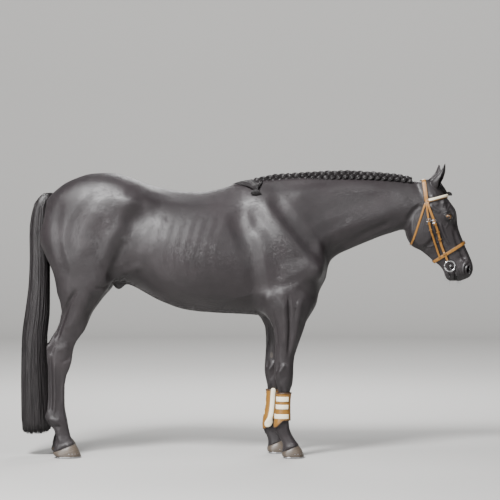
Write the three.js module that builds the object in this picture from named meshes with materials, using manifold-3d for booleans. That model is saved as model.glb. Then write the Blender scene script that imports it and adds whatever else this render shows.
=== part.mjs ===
// A life-size standing horse with a bridle, a running braid, brushing boots on the forelegs and shod hooves.
// Millimetres, +X towards the nose, +Y towards the horse's left, +Z up. The hooves stand on Z = 0.
import * as THREE from "three";
import { mergeVertices } from "three/addons/utils/BufferGeometryUtils.js";
import Module from "manifold-3d";

const wasm = await Module();
wasm.setup();

// ---------- driving sizes ----------
const WITHERS = 1679; // height at the withers
const GAP = 0.4; // clearance between neighbouring solids
const FORE_CUT = 838; // the forelegs leave the trunk at the elbow
const HIND_CUT = 1000; // the hind legs leave it at the stifle
const LEFT_FORE_STEP = -86; // the left forefoot stands this far behind the right one
const LEFT_HIND_STEP = -40;
const SHOE = 10; // thickness of a horseshoe
const HALF_STANCE_FORE = 138;
const HALF_STANCE_HIND = 132;

// ---------- shape tools ----------
const { abs, min, max, hypot, sin, cos, pow, sqrt, PI } = Math;
const mix = (a, b, t) => a + (b - a) * t;
const clamp = (t) => min(1, max(0, t));
const vec = (x, y, z) => new THREE.Vector3(x, y, z);

// A smooth curve through [position, value] pairs, as a function of position.
function profile(...points) {
  points.sort((a, b) => a[0] - b[0]);
  const last = points.length - 1;
  const slope = points.map((p, i) => {
    const before = points[max(0, i - 1)];
    const after = points[min(last, i + 1)];
    return (after[1] - before[1]) / (after[0] - before[0]);
  });
  return (s) => {
    if (s <= points[0][0]) return points[0][1];
    if (s >= points[last][0]) return points[last][1];
    let i = 0;
    while (s > points[i + 1][0]) i++;
    const span = points[i + 1][0] - points[i][0];
    const t = (s - points[i][0]) / span;
    const rise = t * t * (3 - 2 * t);
    return (
      mix(points[i][1], points[i + 1][1], rise) +
      span * (slope[i] * t * (1 - t) * (1 - t) - slope[i + 1] * t * t * (1 - t))
    );
  };
}

// Distance-like values, negative inside. Each shape is a function of (x, y, z).
const CORE = 60; // depth at which the values level off
function blend(a, b, radius) {
  const h = max(0, radius - abs(a - b)) / radius;
  return min(a, b) - (h * h * radius) / 4;
}

function carve(a, b, radius) {
  return -blend(-a, b, radius);
}

function oval(du, dw, halfU, halfW, power = 2) {
  const reach = hypot(du, dw);
  const k = pow(pow(abs(du) / halfU, power) + pow(abs(dw) / halfW, power), 1 / power);
  return k < 1e-3 ? -CORE : max(-CORE, reach - reach / k);
}

// An ellipsoid, turned nose-down by tilt degrees about Y.
function ellipsoid([cx, cy, cz], [rx, ry, rz], tilt = 0) {
  const c = cos((tilt * PI) / 180);
  const s = sin((tilt * PI) / 180);
  return (x, y, z) => {
    const dx = c * (x - cx) - s * (z - cz);
    const dz = s * (x - cx) + c * (z - cz);
    const dy = y - cy;
    const k0 = hypot(dx / rx, dy / ry, dz / rz);
    const k1 = hypot(dx / (rx * rx), dy / (ry * ry), dz / (rz * rz));
    return k1 < 1e-9 ? -min(rx, ry, rz) : (k0 * (k0 - 1)) / k1;
  };
}

// A muscle between two points, with a radius at each end, flattened sideways by the flat factor.
function muscle([ax, ay, az], ra, [bx, by, bz], rb, flat = 1) {
  const ux = bx - ax;
  const uz = bz - az;
  const length2 = ux * ux + uz * uz;
  return (x, y, z) => {
    const t = clamp(((x - ax) * ux + (z - az) * uz) / length2);
    const dy = (y - mix(ay, by, t)) / flat;
    return (hypot(x - ax - t * ux, dy, z - az - t * uz) - mix(ra, rb, t)) * min(1, (1 + flat) / 2);
  };
}

// ---------- trunk ----------
const topLine = profile(
  [-1215, 1572], [-1120, 1648], [-985, 1702], [-865, 1717], [-740, 1697], [-600, 1655], [-450, 1620],
  [-334, 1611], [-225, 1617], [-120, 1643], [-20, WITHERS], [110, 1688], [325, 1705],
);
const bellyLine = profile(
  [-1200, 1500], [-1080, 1270], [-960, 1110], [-816, 1052], [-732, 1047], [-660, 1011], [-539, 945],
  [-418, 897], [-298, 875], [-177, 867], [-56, 861], [113, 852], [260, 880], [400, 1000],
);
const trunkWidth = profile(
  [-1215, 70], [-1120, 150], [-1000, 212], [-880, 240], [-760, 262], [-640, 284], [-480, 302],
  [-330, 300], [-150, 276], [60, 232], [220, 205], [360, 165], [430, 120],
);
const trunkWaist = profile([-1200, 1530], [-950, 1440], [-700, 1330], [-400, 1220], [0, 1190], [400, 1230]);
const trunkRidge = profile([-1200, 2.2], [-850, 2.15], [-500, 1.95], [-250, 1.85], [0, 1.5], [300, 1.6]);

function barrel(x, y, z) {
  const s = min(430, max(-1215, x));
  const waist = trunkWaist(s);
  const up = z > waist;
  const half = up ? topLine(s) - waist : waist - bellyLine(s);
  const side = oval(z - waist, y, half, trunkWidth(s), up ? trunkRidge(s) : 2.15);
  return hypot(max(0, abs(x - s)), max(0, side)) + min(0, side);
}

const breast = muscle([346, 88, 1120], 100, [338, 92, 972], 98, 0.95);
const shoulderBlade = muscle([70, 88, 1530], 62, [385, 150, 1165], 80, 0.8);
const upperArm = muscle([375, 158, 1140], 82, [200, 160, 985], 92, 0.85);
const triceps = ellipsoid([165, 150, 1185], [185, 78, 205], 38);
const pointOfHip = ellipsoid([-690, 205, 1525], [75, 62, 52]);
const gluteal = ellipsoid([-890, 128, 1500], [315, 152, 205], -8);
const hamstringTop = muscle([-1092, 92, 1462], 118, [-1118, 120, 1330], 130, 0.95);
const hamstringLow = muscle([-1118, 120, 1330], 130, [-1012, 146, 1010], 98, 0.95);
const thighFront = muscle([-790, 190, 1370], 92, [-905, 168, 1085], 88, 0.85);
const thighSide = ellipsoid([-985, 175, 1235], [190, 104, 235], -12);
const flankHollow = ellipsoid([-640, 322, 1420], [95, 38, 105]);

function trunkField(x, y, z) {
  const w = abs(y);
  let d = barrel(x, w, z);
  d = blend(d, shoulderBlade(x, w, z), 75);
  d = blend(d, triceps(x, w, z), 60);
  d = blend(d, blend(breast(x, w, z), upperArm(x, w, z), 60), 60);
  d = blend(d, gluteal(x, w, z), 90);
  d = blend(d, pointOfHip(x, w, z), 80);
  d = carve(d, flankHollow(x, w, z), 70);
  const thigh = blend(blend(hamstringTop(x, w, z), hamstringLow(x, w, z), 40), thighSide(x, w, z), 70);
  d = blend(d, blend(thigh, thighFront(x, w, z), 60), 60);
  return d;
}

// ---------- neck ----------
const crest = profile(
  [0, 1672], [110, 1688], [172, 1696], [325, 1712], [471, 1721], [618, 1724], [764, 1717], [910, 1703],
  [1000, 1692], [1080, 1684], [1150, 1640],
);
const underNeck = profile(
  [150, 1030], [300, 1100], [400, 1150], [471, 1186], [547, 1216], [704, 1282], [821, 1332], [897, 1356],
  [955, 1372], [1050, 1420],
);
const neckWidth = profile(
  [100, 178], [200, 170], [300, 156], [471, 128], [618, 108], [764, 96], [897, 88], [1100, 78],
);

function neckField(x, y, z) {
  const s = min(1100, max(100, x));
  const middle = mix(underNeck(s), crest(s), 0.43);
  const up = z > middle;
  const half = up ? crest(s) - middle : middle - underNeck(s);
  const side = oval(z - middle, y, half, neckWidth(s), up ? 1.62 : 2.3);
  return hypot(abs(x - s), max(0, side)) + min(0, side);
}

// ---------- legs ----------
// Front and back outlines by height, the middle's distance from the centre plane, and the half-width.
const foreLeg = {
  sole: [215, 346],
  front: profile(
    [60, 318], [79, 314], [116, 291], [148, 271], [180, 262], [217, 258], [300, 254], [380, 258],
    [412, 268], [449, 281], [494, 285], [563, 288], [604, 292], [642, 303], [698, 323], [759, 347],
    [829, 372], [900, 385], [1000, 385],
  ),
  back: profile(
    [42, 212], [65, 207], [83, 212], [97, 206], [125, 188], [157, 167], [190, 161], [230, 172],
    [290, 185], [400, 187], [435, 178], [469, 168], [511, 161], [563, 161], [614, 163], [684, 163],
    [736, 158], [777, 151], [805, 138], [846, 119], [900, 100], [1000, 110],
  ),
  middle: profile([0, HALF_STANCE_FORE], [500, 138], [850, 148], [1000, 150]),
  width: profile(
    [40, 50], [80, 46], [120, 36], [160, 36], [195, 41], [235, 35], [300, 29], [380, 31], [430, 44],
    [500, 51], [560, 48], [620, 49], [700, 60], [780, 72], [860, 84], [1000, 88],
  ),
};
const hindLeg = {
  sole: [-1153, -999],
  front: profile(
    [60, -1026], [89, -1038], [135, -1058], [176, -1067], [229, -1077], [265, -1085], [332, -1088],
    [409, -1088], [461, -1084], [497, -1075], [544, -1053], [592, -1041], [646, -1033], [708, -1003],
    [781, -966], [873, -928], [950, -885], [1022, -841],
  ),
  back: profile(
    [42, -1170], [74, -1170], [107, -1156], [145, -1152], [174, -1171], [208, -1206], [241, -1228],
    [278, -1218], [332, -1212], [409, -1210], [487, -1212], [564, -1215], [625, -1219], [683, -1219],
    [706, -1202], [765, -1164], [842, -1131], [899, -1122], [938, -1127], [1019, -1160],
  ),
  middle: profile([0, HALF_STANCE_HIND], [250, 130], [640, 124], [1000, 148]),
  width: profile(
    [40, 50], [80, 44], [120, 34], [170, 34], [235, 41], [290, 31], [400, 29], [490, 32], [560, 42],
    [640, 46], [700, 43], [780, 52], [880, 68], [960, 80], [1022, 88],
  ),
};

// How far a leg is set back from its outline above, by height.
const still = () => 0;
const leftFore = profile(
  [0, LEFT_FORE_STEP], [105, 0.98 * LEFT_FORE_STEP], [195, 0.75 * LEFT_FORE_STEP],
  [420, 0.71 * LEFT_FORE_STEP], [900, 0.52 * LEFT_FORE_STEP],
);
const leftHind = profile(
  [0, LEFT_HIND_STEP], [100, 0.95 * LEFT_HIND_STEP], [240, 0.66 * LEFT_HIND_STEP],
  [700, 0.6 * LEFT_HIND_STEP], [1100, 0],
);

function legField(leg, x, y, z, reach, shift) {
  const h = min(reach, max(0, z));
  const front = leg.front(h) + shift(h);
  const back = leg.back(h) + shift(h);
  const side = oval(x - (front + back) / 2, y - leg.middle(h), (front - back) / 2, leg.width(h), 2.15);
  return hypot(z - h, max(0, side)) + min(0, side);
}

const legsField = (x, y, z) =>
  min(
    legField(foreLeg, x, abs(y), z, 960, y > 0 ? leftFore : still),
    legField(hindLeg, x, abs(y), z, 1020, y > 0 ? leftHind : still),
  );

const bodyField = (x, y, z) =>
  blend(blend(trunkField(x, y, z), neckField(x, y, z), 90), legsField(x, y, z), 80);

// ---------- head, in its own frame: u runs from the poll to the lips, v towards the face ----------
const POLL = vec(1100, 0, 1690);
const HEAD_TURN = (22 * PI) / 180; // the face leans this far forward of upright
const downFace = vec(sin(HEAD_TURN), 0, -cos(HEAD_TURN));
const offFace = vec(cos(HEAD_TURN), 0, sin(HEAD_TURN));
const headPoint = (u, v, y) =>
  POLL.clone().addScaledVector(downFace, u).addScaledVector(offFace, v).add(vec(0, y, 0));

const faceLine = profile(
  [0, 20], [50, 36], [110, 52], [163, 64], [200, 74], [241, 84], [276, 81], [318, 67], [360, 59],
  [410, 56], [483, 57], [554, 57], [587, 53], [614, 42], [640, 24],
);
const faceBack = profile([0, -70], [100, -105], [250, -110], [400, -80], [500, -62], [600, -60], [640, -50]);
const faceWidth = profile(
  [0, 56], [50, 74], [110, 90], [180, 98], [240, 98], [300, 88], [360, 76], [430, 66], [500, 58],
  [560, 53], [620, 50], [640, 44],
);
const jawLine = profile(
  [90, -75], [136, -117], [170, -180], [202, -226], [251, -252], [299, -259], [347, -254], [375, -240],
  [410, -203], [471, -180], [545, -132], [600, -118],
);
const jawWidth = profile([90, 60], [200, 66], [300, 64], [400, 50], [480, 40], [600, 32]);
const jowl = ellipsoid([262, -148, 50], [128, 104, 36]);
const brow = ellipsoid([230, 34, 74], [64, 34, 32]);
const muzzle = ellipsoid([602, -14, 0], [63, 58, 52], -12);
const nostrilRim = ellipsoid([600, 12, 36], [48, 34, 20]);
const chin = ellipsoid([602, -98, 0], [38, 28, 34], -15);

function headLocal(u, v, y) {
  const w = abs(y);
  const a = min(602, max(2, u));
  const top = faceLine(a);
  const low = faceBack(a);
  const face = oval(v - (top + low) / 2, w, (top - low) / 2, faceWidth(a), 2.5);
  let d = hypot(u - a, max(0, face)) + min(0, face);
  const b = min(600, max(110, u));
  const back = jawLine(b);
  const jaw = oval(v - (back + top) / 2, w, (top - back) / 2, jawWidth(b), 2.4);
  d = blend(d, hypot(u - b, max(0, jaw)) + min(0, jaw), 35);
  d = blend(d, jowl(u, v, w), 30);
  d = blend(d, brow(u, v, w), 34);
  d = blend(d, muzzle(u, v, w), 45);
  d = blend(d, nostrilRim(u, v, w), 26);
  d = blend(d, chin(u, v, w), 22);
  return d;
}

// ---------- turning fields into solids ----------
// The point where a ray from a centre leaves the field's inside, moved out by offset.
function skinPoint(field, centre, direction, far, offset = 0) {
  let near = 0;
  let out = far;
  for (let i = 0; i < 28; i++) {
    const t = (near + out) / 2;
    const p = centre.clone().addScaledVector(direction, t);
    if (field(p.x, p.y, p.z) < offset) near = t;
    else out = t;
  }
  return centre.clone().addScaledVector(direction, (near + out) / 2);
}

// Joins rings of points, each with the same count, into one closed body with flat ends.
function loftGeometry(rings) {
  const n = rings[0].length;
  const points = rings.flat();
  const index = [];
  const middle = (ring) => ring.reduce((sum, p) => sum.add(p), vec(0, 0, 0)).divideScalar(n);
  for (let r = 0; r + 1 < rings.length; r++)
    for (let i = 0; i < n; i++) {
      const a = r * n + i;
      const b = r * n + ((i + 1) % n);
      index.push(a, b, a + n, b, b + n, a + n);
    }
  const startCap = points.push(middle(rings[0])) - 1;
  const endCap = points.push(middle(rings.at(-1))) - 1;
  const lastRow = (rings.length - 1) * n;
  for (let i = 0; i < n; i++) {
    const j = (i + 1) % n;
    index.push(startCap, j, i);
    index.push(endCap, lastRow + i, lastRow + j);
  }
  return outward(new THREE.BufferGeometry().setFromPoints(points).setIndex(index));
}

// Reverses a closed geometry whose faces point inwards.
function outward(geometry) {
  const p = geometry.attributes.position;
  const index = geometry.index.array;
  const corner = [0, 1, 2].map(() => vec(0, 0, 0));
  let volume = 0;
  for (let i = 0; i < index.length; i += 3) {
    corner.forEach((c, k) => c.fromBufferAttribute(p, index[i + k]));
    volume += corner[0].dot(corner[1].clone().cross(corner[2]));
  }
  if (volume < 0) {
    for (let i = 0; i < index.length; i += 3) [index[i + 1], index[i + 2]] = [index[i + 2], index[i + 1]];
  }
  return geometry;
}

// Rings cast from centres along a path. Each station is { centre, across, up }: two directions in its plane.
function castLoft(field, stations, count, far, offset = 0) {
  return loftGeometry(
    stations.map(({ centre, across, up }) =>
      Array.from({ length: count }, (_, i) => {
        const angle = (2 * PI * i) / count;
        const way = across.clone().multiplyScalar(cos(angle)).addScaledVector(up, sin(angle));
        return skinPoint(field, centre, way, far, offset);
      }),
    ),
  );
}

// A closed surface of small quads over the whole field, for shapes that branch.
function netGeometry(field, low, high, cell) {
  const size = [0, 1, 2].map((k) => Math.ceil((high[k] - low[k]) / cell[k]) + 1);
  const at = (i, j, k) => (k * size[1] + j) * size[0] + i;
  const value = new Float32Array(size[0] * size[1] * size[2]);
  const place = (i, j, k) => [low[0] + i * cell[0], low[1] + j * cell[1], low[2] + k * cell[2]];
  for (let k = 0; k < size[2]; k++)
    for (let j = 0; j < size[1]; j++)
      for (let i = 0; i < size[0]; i++) value[at(i, j, k)] = field(...place(i, j, k));
  const corners = [0, 1, 2, 3, 4, 5, 6, 7].map((c) => [c & 1, (c >> 1) & 1, c >> 2]);
  const edges = [
    [0, 1], [2, 3], [4, 5], [6, 7], [0, 2], [1, 3], [4, 6], [5, 7], [0, 4], [1, 5], [2, 6], [3, 7],
  ];
  const vertexOf = new Int32Array(value.length).fill(-1);
  const points = [];
  for (let k = 0; k + 1 < size[2]; k++)
    for (let j = 0; j + 1 < size[1]; j++)
      for (let i = 0; i + 1 < size[0]; i++) {
        const v = corners.map(([a, b, c]) => value[at(i + a, j + b, k + c)]);
        const sum = vec(0, 0, 0);
        let crossings = 0;
        for (const [a, b] of edges) {
          if (v[a] < 0 === v[b] < 0) continue;
          const t = v[a] / (v[a] - v[b]);
          sum.add(vec(...corners[a]).lerp(vec(...corners[b]), t));
          crossings++;
        }
        if (!crossings) continue;
        const p = sum.divideScalar(crossings).multiply(vec(...cell)).add(vec(...place(i, j, k)));
        vertexOf[at(i, j, k)] = points.push(settle(field, p)) - 1;
      }
  const index = [];
  const quad = (a, b, c, d, flip) => (flip ? index.push(a, c, b, a, d, c) : index.push(a, b, c, a, c, d));
  for (let k = 1; k + 1 < size[2]; k++)
    for (let j = 1; j + 1 < size[1]; j++)
      for (let i = 1; i + 1 < size[0]; i++) {
        const inside = value[at(i, j, k)] < 0;
        const crosses = (a, b, c) => inside !== value[at(i + a, j + b, k + c)] < 0;
        const g = (a, b, c) => vertexOf[at(i - a, j - b, k - c)];
        if (crosses(1, 0, 0)) quad(g(0, 1, 1), g(0, 0, 1), g(0, 0, 0), g(0, 1, 0), !inside);
        if (crosses(0, 1, 0)) quad(g(1, 0, 1), g(1, 0, 0), g(0, 0, 0), g(0, 0, 1), !inside);
        if (crosses(0, 0, 1)) quad(g(1, 1, 0), g(0, 1, 0), g(0, 0, 0), g(1, 0, 0), !inside);
      }
  return outward(new THREE.BufferGeometry().setFromPoints(points).setIndex(index));
}

// Moves a point along the field's slope onto its surface.
function settle(field, p) {
  const e = 1;
  for (let i = 0; i < 4; i++) {
    const d = field(p.x, p.y, p.z);
    const slope = vec(
      field(p.x + e, p.y, p.z) - field(p.x - e, p.y, p.z),
      field(p.x, p.y + e, p.z) - field(p.x, p.y - e, p.z),
      field(p.x, p.y, p.z + e) - field(p.x, p.y, p.z - e),
    ).divideScalar(2 * e);
    const steep = slope.lengthSq();
    if (steep > 0.04) p.addScaledVector(slope, -max(-12, min(12, d / steep)));
  }
  return p;
}

// A copy that keeps only the positions.
function bare(geometry) {
  const copy = geometry.clone();
  for (const name of Object.keys(copy.attributes)) if (name !== "position") copy.deleteAttribute(name);
  return copy;
}

// three.js geometry to a manifold-3d solid, and back.
function solid(geometry) {
  const merged = mergeVertices(bare(geometry), 1e-3);
  return new wasm.Manifold(
    new wasm.Mesh({
      numProp: 3,
      vertProperties: merged.attributes.position.array,
      triVerts: new Uint32Array(merged.index.array),
    }),
  );
}

function geometryOf(body) {
  const m = body.getMesh();
  const positions = new Float32Array(m.numVert * 3);
  for (let i = 0; i < m.numVert; i++) {
    const from = i * m.numProp;
    positions.set(m.vertProperties.subarray(from, from + 3), i * 3);
  }
  return new THREE.BufferGeometry()
    .setAttribute("position", new THREE.BufferAttribute(positions, 3))
    .setIndex(new THREE.BufferAttribute(m.triVerts, 1));
}

// A box between two corners.
function block(low, high) {
  const g = new THREE.BoxGeometry(high[0] - low[0], high[1] - low[1], high[2] - low[2]);
  return g.translate((low[0] + high[0]) / 2, (low[1] + high[1]) / 2, (low[2] + high[2]) / 2);
}

const horse = new THREE.Group();
function add(name, shape, material) {
  const mesh = new THREE.Mesh(shape.isBufferGeometry ? shape : geometryOf(shape), material);
  mesh.name = name;
  horse.add(mesh);
}

const finish = (color, roughness, metalness = 0) =>
  new THREE.MeshStandardMaterial({ color, roughness, metalness });
const coat = finish(0x353031, 0.45);
const hair = finish(0x2a2627, 0.55);
const horn = finish(0x6e5c4c, 0.5);
const steel = finish(0xb9bcc0, 0.3, 1);
const leather = finish(0x8a5a22, 0.5);
const cream = finish(0xe6dcc0, 0.6);
const eyeGlaze = finish(0x2a1a10, 0.1);
const SIDES = [["right", -1], ["left", 1]];

// ---------- trunk and neck ----------
// The neck leaves the trunk along the front edge of the shoulder blade.
const neckTop = vec(95, 0, 1700);
const neckFoot = vec(478, 0, 1140);
const neckDown = neckFoot.clone().sub(neckTop).normalize();
const neckOut = vec(-neckDown.z, 0, neckDown.x);
const neckMiddle = neckTop.clone().lerp(neckFoot, 0.5);

function neckStations(from) {
  const rings = 10;
  const start = neckMiddle.clone().addScaledVector(neckOut, from);
  const end = vec(1076, 0, 1552);
  const startTurn = Math.atan2(neckOut.z, neckOut.x);
  const endTurn = (-17 * PI) / 180;
  return Array.from({ length: rings }, (_, i) => {
    const t = i / (rings - 1);
    const turn = mix(startTurn, endTurn, t);
    return { centre: start.clone().lerp(end, t), across: vec(0, 1, 0), up: vec(-sin(turn), 0, cos(turn)) };
  });
}

const neckLoft = (from, swell) => solid(castLoft(bodyField, neckStations(from), 18, 420, swell));

const SHEATH = { at: [-784, 0, 1053], length: 44, width: 27, height: 52, tilt: -0.35 };

function trunkSolid(swell = 0) {
  const beyond = 60; // the net runs this far past each cut, so that the cuts are clean
  const pastNeck = (x, z) => (x - neckTop.x) * neckOut.x + (z - neckTop.z) * neckOut.z;
  const field = (x, y, z) => max(bodyField(x, y, z) - swell, FORE_CUT - beyond - z, pastNeck(x, z) - beyond);
  const net = netGeometry(field, [-1352, -390, 700], [700, 390, 1800], [80, 60, 63]);
  const neckSide = block([0, -600, -900], [1400, 600, 900]);
  neckSide.applyMatrix4(new THREE.Matrix4().makeRotationY(-Math.atan2(neckOut.z, neckOut.x)));
  neckSide.translate(neckMiddle.x, 0, neckMiddle.z);
  const sheath = new THREE.SphereGeometry(1, 9, 7).scale(SHEATH.length, SHEATH.width, SHEATH.height);
  return solid(net)
    .add(solid(sheath.rotateY(SHEATH.tilt).translate(...SHEATH.at)))
    .subtract(solid(neckSide))
    .subtract(solid(block([-20, -600, 0], [700, 600, FORE_CUT])))
    .subtract(solid(block([-1500, -600, 0], [-760, 600, HIND_CUT])));
}

// ---------- head ----------
const headFrame = new THREE.Matrix4().makeBasis(downFace, offFace, vec(0, -1, 0)).setPosition(POLL);
const headUnframe = headFrame.clone().invert();
const headField = (x, y, z) => {
  const p = vec(x, y, z).applyMatrix4(headUnframe);
  return headLocal(p.x, p.y, p.z);
};
const wholeField = (x, y, z) => min(bodyField(x, y, z), headField(x, y, z));

function headSolid(swell = 0) {
  const ringsAt = [
    2 - 0.9 * swell, 28, 62, 100, 138, 174, 206, 236, 264, 292, 324, 358, 396, 440, 486, 526, 558, 586, 612,
    634, 650, 660,
  ];
  const middle = profile(
    [-10, -20], [100, -20], [200, -55], [320, -95], [420, -70], [520, -35], [600, -28], [670, -14],
  );
  const across = vec(0, 0, 1);
  const up = vec(0, 1, 0);
  const stations = ringsAt.map((u) => ({ centre: vec(u, middle(u), 0), across, up }));
  return solid(castLoft((u, v, y) => headLocal(u, v, y), stations, 18, 400, swell).applyMatrix4(headFrame));
}

const EYE_AT = [262, 19]; // along the head and off its axis
const EYE_RADIUS = 26;
const EYE_PROUD = 6; // how far the cornea stands off the head
function eyeCentre(side) {
  const at = skinPoint(headField, headPoint(...EYE_AT, 0), vec(0, side, 0), 200);
  return at.add(vec(0, side * (EYE_PROUD - EYE_RADIUS), 0));
}
const eyeBall = (side, radius) => {
  const c = eyeCentre(side);
  return solid(new THREE.SphereGeometry(radius, 10, 7).rotateX(PI / 2).translate(c.x, c.y, c.z));
};

// A cupped ear: crescent sections that open forwards and a little outwards, up to a pointed tip.
const EAR_ROOT = 1644;
const EAR_TIP = 1776;
const earMiddle = profile([1638, 1146], [1666, 1153], [1695, 1177], [1722, 1193], [1746, 1199], [1776, 1203]);
const earDepth = profile([1638, 40], [1666, 44], [1695, 38], [1722, 21], [1746, 11], [1776, 2]);
const earWidth = profile([1638, 28], [1666, 34], [1695, 36], [1722, 30], [1746, 19], [1776, 3]);
const earSpread = profile([1638, 150], [1666, 118], [1695, 100], [1776, 90]);

function ear(side, back) {
  const steps = 7;
  const arc = 7;
  const turnOut = side * 0.42;
  const rings = Array.from({ length: steps + 1 }, (_, i) => {
    const t = i / steps;
    const z = mix(EAR_ROOT, EAR_TIP, t);
    const wall = mix(6, 2, t);
    const point = (deep, wide, j) => {
      const turn = (mix(-earSpread(z), earSpread(z), j / (arc - 1)) * PI) / 180;
      const along = -deep * cos(turn);
      const across = wide * sin(turn);
      return vec(
        earMiddle(z) - back * t + along * cos(turnOut) - across * sin(turnOut),
        side * mix(50, 66, t) + along * sin(turnOut) + across * cos(turnOut),
        z - along * 0.1,
      );
    };
    const outer = Array.from({ length: arc }, (_, j) => point(earDepth(z), earWidth(z), j));
    const inner = Array.from({ length: arc }, (_, j) =>
      point(max(0.7, earDepth(z) - wall), max(0.9, earWidth(z) - wall), arc - 1 - j),
    );
    return [...outer, ...inner];
  });
  return solid(loftGeometry(rings));
}

// ---------- legs, hooves and shoes ----------
const LEG_SIDES = 10;
const CORONET_TILT = (22 * PI) / 180;
const CORONET = 62; // height of the coronet band's centre
const HOOF_WIDTH = 130;
const coronetFront = (leg, shift) => leg.front(86) + shift(86);
const coronetBack = (leg, shift) => leg.back(44) + shift(44);

function legSolid(leg, side, cut, heights, shift, swell) {
  const coronetX = (coronetFront(leg, shift) + coronetBack(leg, shift)) / 2;
  const stations = heights.map((z, i) => {
    const near = max(0, 1 - (heights.length - 1 - i) / 4); // how near this ring is to the coronet
    const tilt = CORONET_TILT * near;
    const x = mix((leg.front(z) + leg.back(z)) / 2 + shift(z), coronetX, near);
    const centre = vec(x, side * leg.middle(z), z);
    return { centre, across: vec(0, 1, 0), up: vec(cos(tilt), 0, sin(tilt)) };
  });
  return solid(castLoft((x, y, z) => max(bodyField(x, y, z), z - cut), stations, LEG_SIDES, 220, swell));
}

const foreHeights = [
  FORE_CUT - GAP, 780, 720, 665, 620, 580, 545, 510, 475, 442, 412, 375, 305, 250, 215, 190, 160, 128, 96,
  CORONET,
];
const hindHeights = [
  HIND_CUT - GAP, 940, 880, 820, 765, 722, 694, 660, 620, 578, 536, 492, 440, 360, 290, 262, 238, 208, 176,
  142, 106, CORONET,
];

// The outline of a hoof at one level, seen from above: round at the toe and squarer at the heels.
function hoofOutline(centre, halfLength, halfWidth, tilt, count) {
  return Array.from({ length: count }, (_, i) => {
    const angle = (2 * PI * i) / count;
    const c = cos(angle);
    const power = c < 0 ? 0.72 : 0.94;
    const along = Math.sign(c) * pow(abs(c), power) * halfLength;
    const across = Math.sign(sin(angle)) * pow(abs(sin(angle)), power) * halfWidth;
    return vec(centre.x + along * cos(tilt), centre.y + across, centre.z + along * sin(tilt));
  });
}

function hoofSizes(leg, side, shift) {
  const front = coronetFront(leg, shift);
  const back = coronetBack(leg, shift);
  const [heel, toe] = leg.sole;
  return {
    top: vec((front + back) / 2, side * leg.middle(CORONET), CORONET - 2 * GAP),
    topHalf: (front - back) / 2 / cos(CORONET_TILT),
    sole: vec((heel + toe) / 2 + shift(0), side * leg.middle(0), SHOE + GAP),
    soleHalf: (toe - heel) / 2,
  };
}

function hoofSolid(leg, side, shift) {
  const { top, topHalf, sole, soleHalf } = hoofSizes(leg, side, shift);
  const rings = [0, 0.5, 1].map((t) =>
    hoofOutline(
      sole.clone().lerp(top, t),
      mix(soleHalf, topHalf, t) + 3 * t * (1 - t),
      mix(HOOF_WIDTH / 2, 50, t) + 3 * t * (1 - t),
      CORONET_TILT * t,
      14,
    ),
  );
  return solid(loftGeometry(rings));
}

function shoeSolid(leg, side, shift) {
  const { sole, soleHalf } = hoofSizes(leg, side, shift);
  const ground = vec(sole.x, sole.y, 0);
  const count = 18;
  const outer = hoofOutline(ground, soleHalf + 1, HOOF_WIDTH / 2 + 2, 0, count);
  const inner = hoofOutline(ground, soleHalf - 23, HOOF_WIDTH / 2 - 22, 0, count);
  const heel = 7; // outline points further round from the toe than this leave the heel open
  const keep = (points) => [...points.slice(count - heel), ...points.slice(0, heel + 1)];
  const outline = [...keep(outer), ...keep(inner).reverse()];
  const shape = new THREE.Shape(outline.map((p) => new THREE.Vector2(p.x, p.y)));
  const plate = bare(new THREE.ExtrudeGeometry(shape, { depth: SHOE, bevelEnabled: false }));
  return solid(outward(mergeVertices(plate, 1e-3)));
}

// ---------- tail ----------
const tailBack = profile(
  [128, -1368], [240, -1377], [474, -1377], [716, -1371], [861, -1353], [1017, -1330], [1198, -1321],
  [1379, -1321], [1488, -1304], [1545, -1275], [1585, -1222],
);
const tailFront = profile(
  [128, -1186], [240, -1190], [474, -1207], [650, -1226], [861, -1206], [1017, -1200], [1198, -1205],
  [1379, -1200], [1500, -1170], [1585, -1120],
);
const tailWidth = profile(
  [128, 76], [300, 84], [700, 80], [1000, 72], [1250, 60], [1450, 46], [1560, 36], [1585, 24],
);

function tailSolid() {
  const heights = [1572, 1540, 1490, 1410, 1310, 1190, 1050, 880, 700, 520, 340, 220, 134];
  const rings = heights.map((z) => {
    const back = tailBack(z);
    const front = tailFront(z);
    return Array.from({ length: 10 }, (_, i) => {
      const angle = (2 * PI * i) / 10;
      const lean = z > 1400 ? ((z - 1400) / 185) * 26 : 0; // the top rings lean back with the dock
      const along = cos(angle);
      return vec(mix(back, front, (1 + along) / 2), sin(angle) * tailWidth(z), z + along * lean);
    });
  });
  return solid(loftGeometry(rings));
}

// ---------- mane ----------
// The running braid lies along the right of the crest, from the withers to behind the ears.
function braidSolid() {
  const start = 52;
  const end = 1050;
  const steps = 12;
  const girth = profile([start, 31], [300, 30], [700, 28], [950, 22], [end, 17]);
  const rings = Array.from({ length: steps + 1 }, (_, i) => {
    const x = mix(start, end, i / steps);
    const high = girth(x);
    const middle = crest(x) + 17 - high;
    return Array.from({ length: 8 }, (_, j) => {
      const angle = (2 * PI * (j + 0.5)) / 8;
      return vec(x, -30 + 24 * cos(angle) * min(1, high / 24), middle + 1.06 * high * sin(angle));
    });
  });
  return solid(loftGeometry(rings));
}

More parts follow.
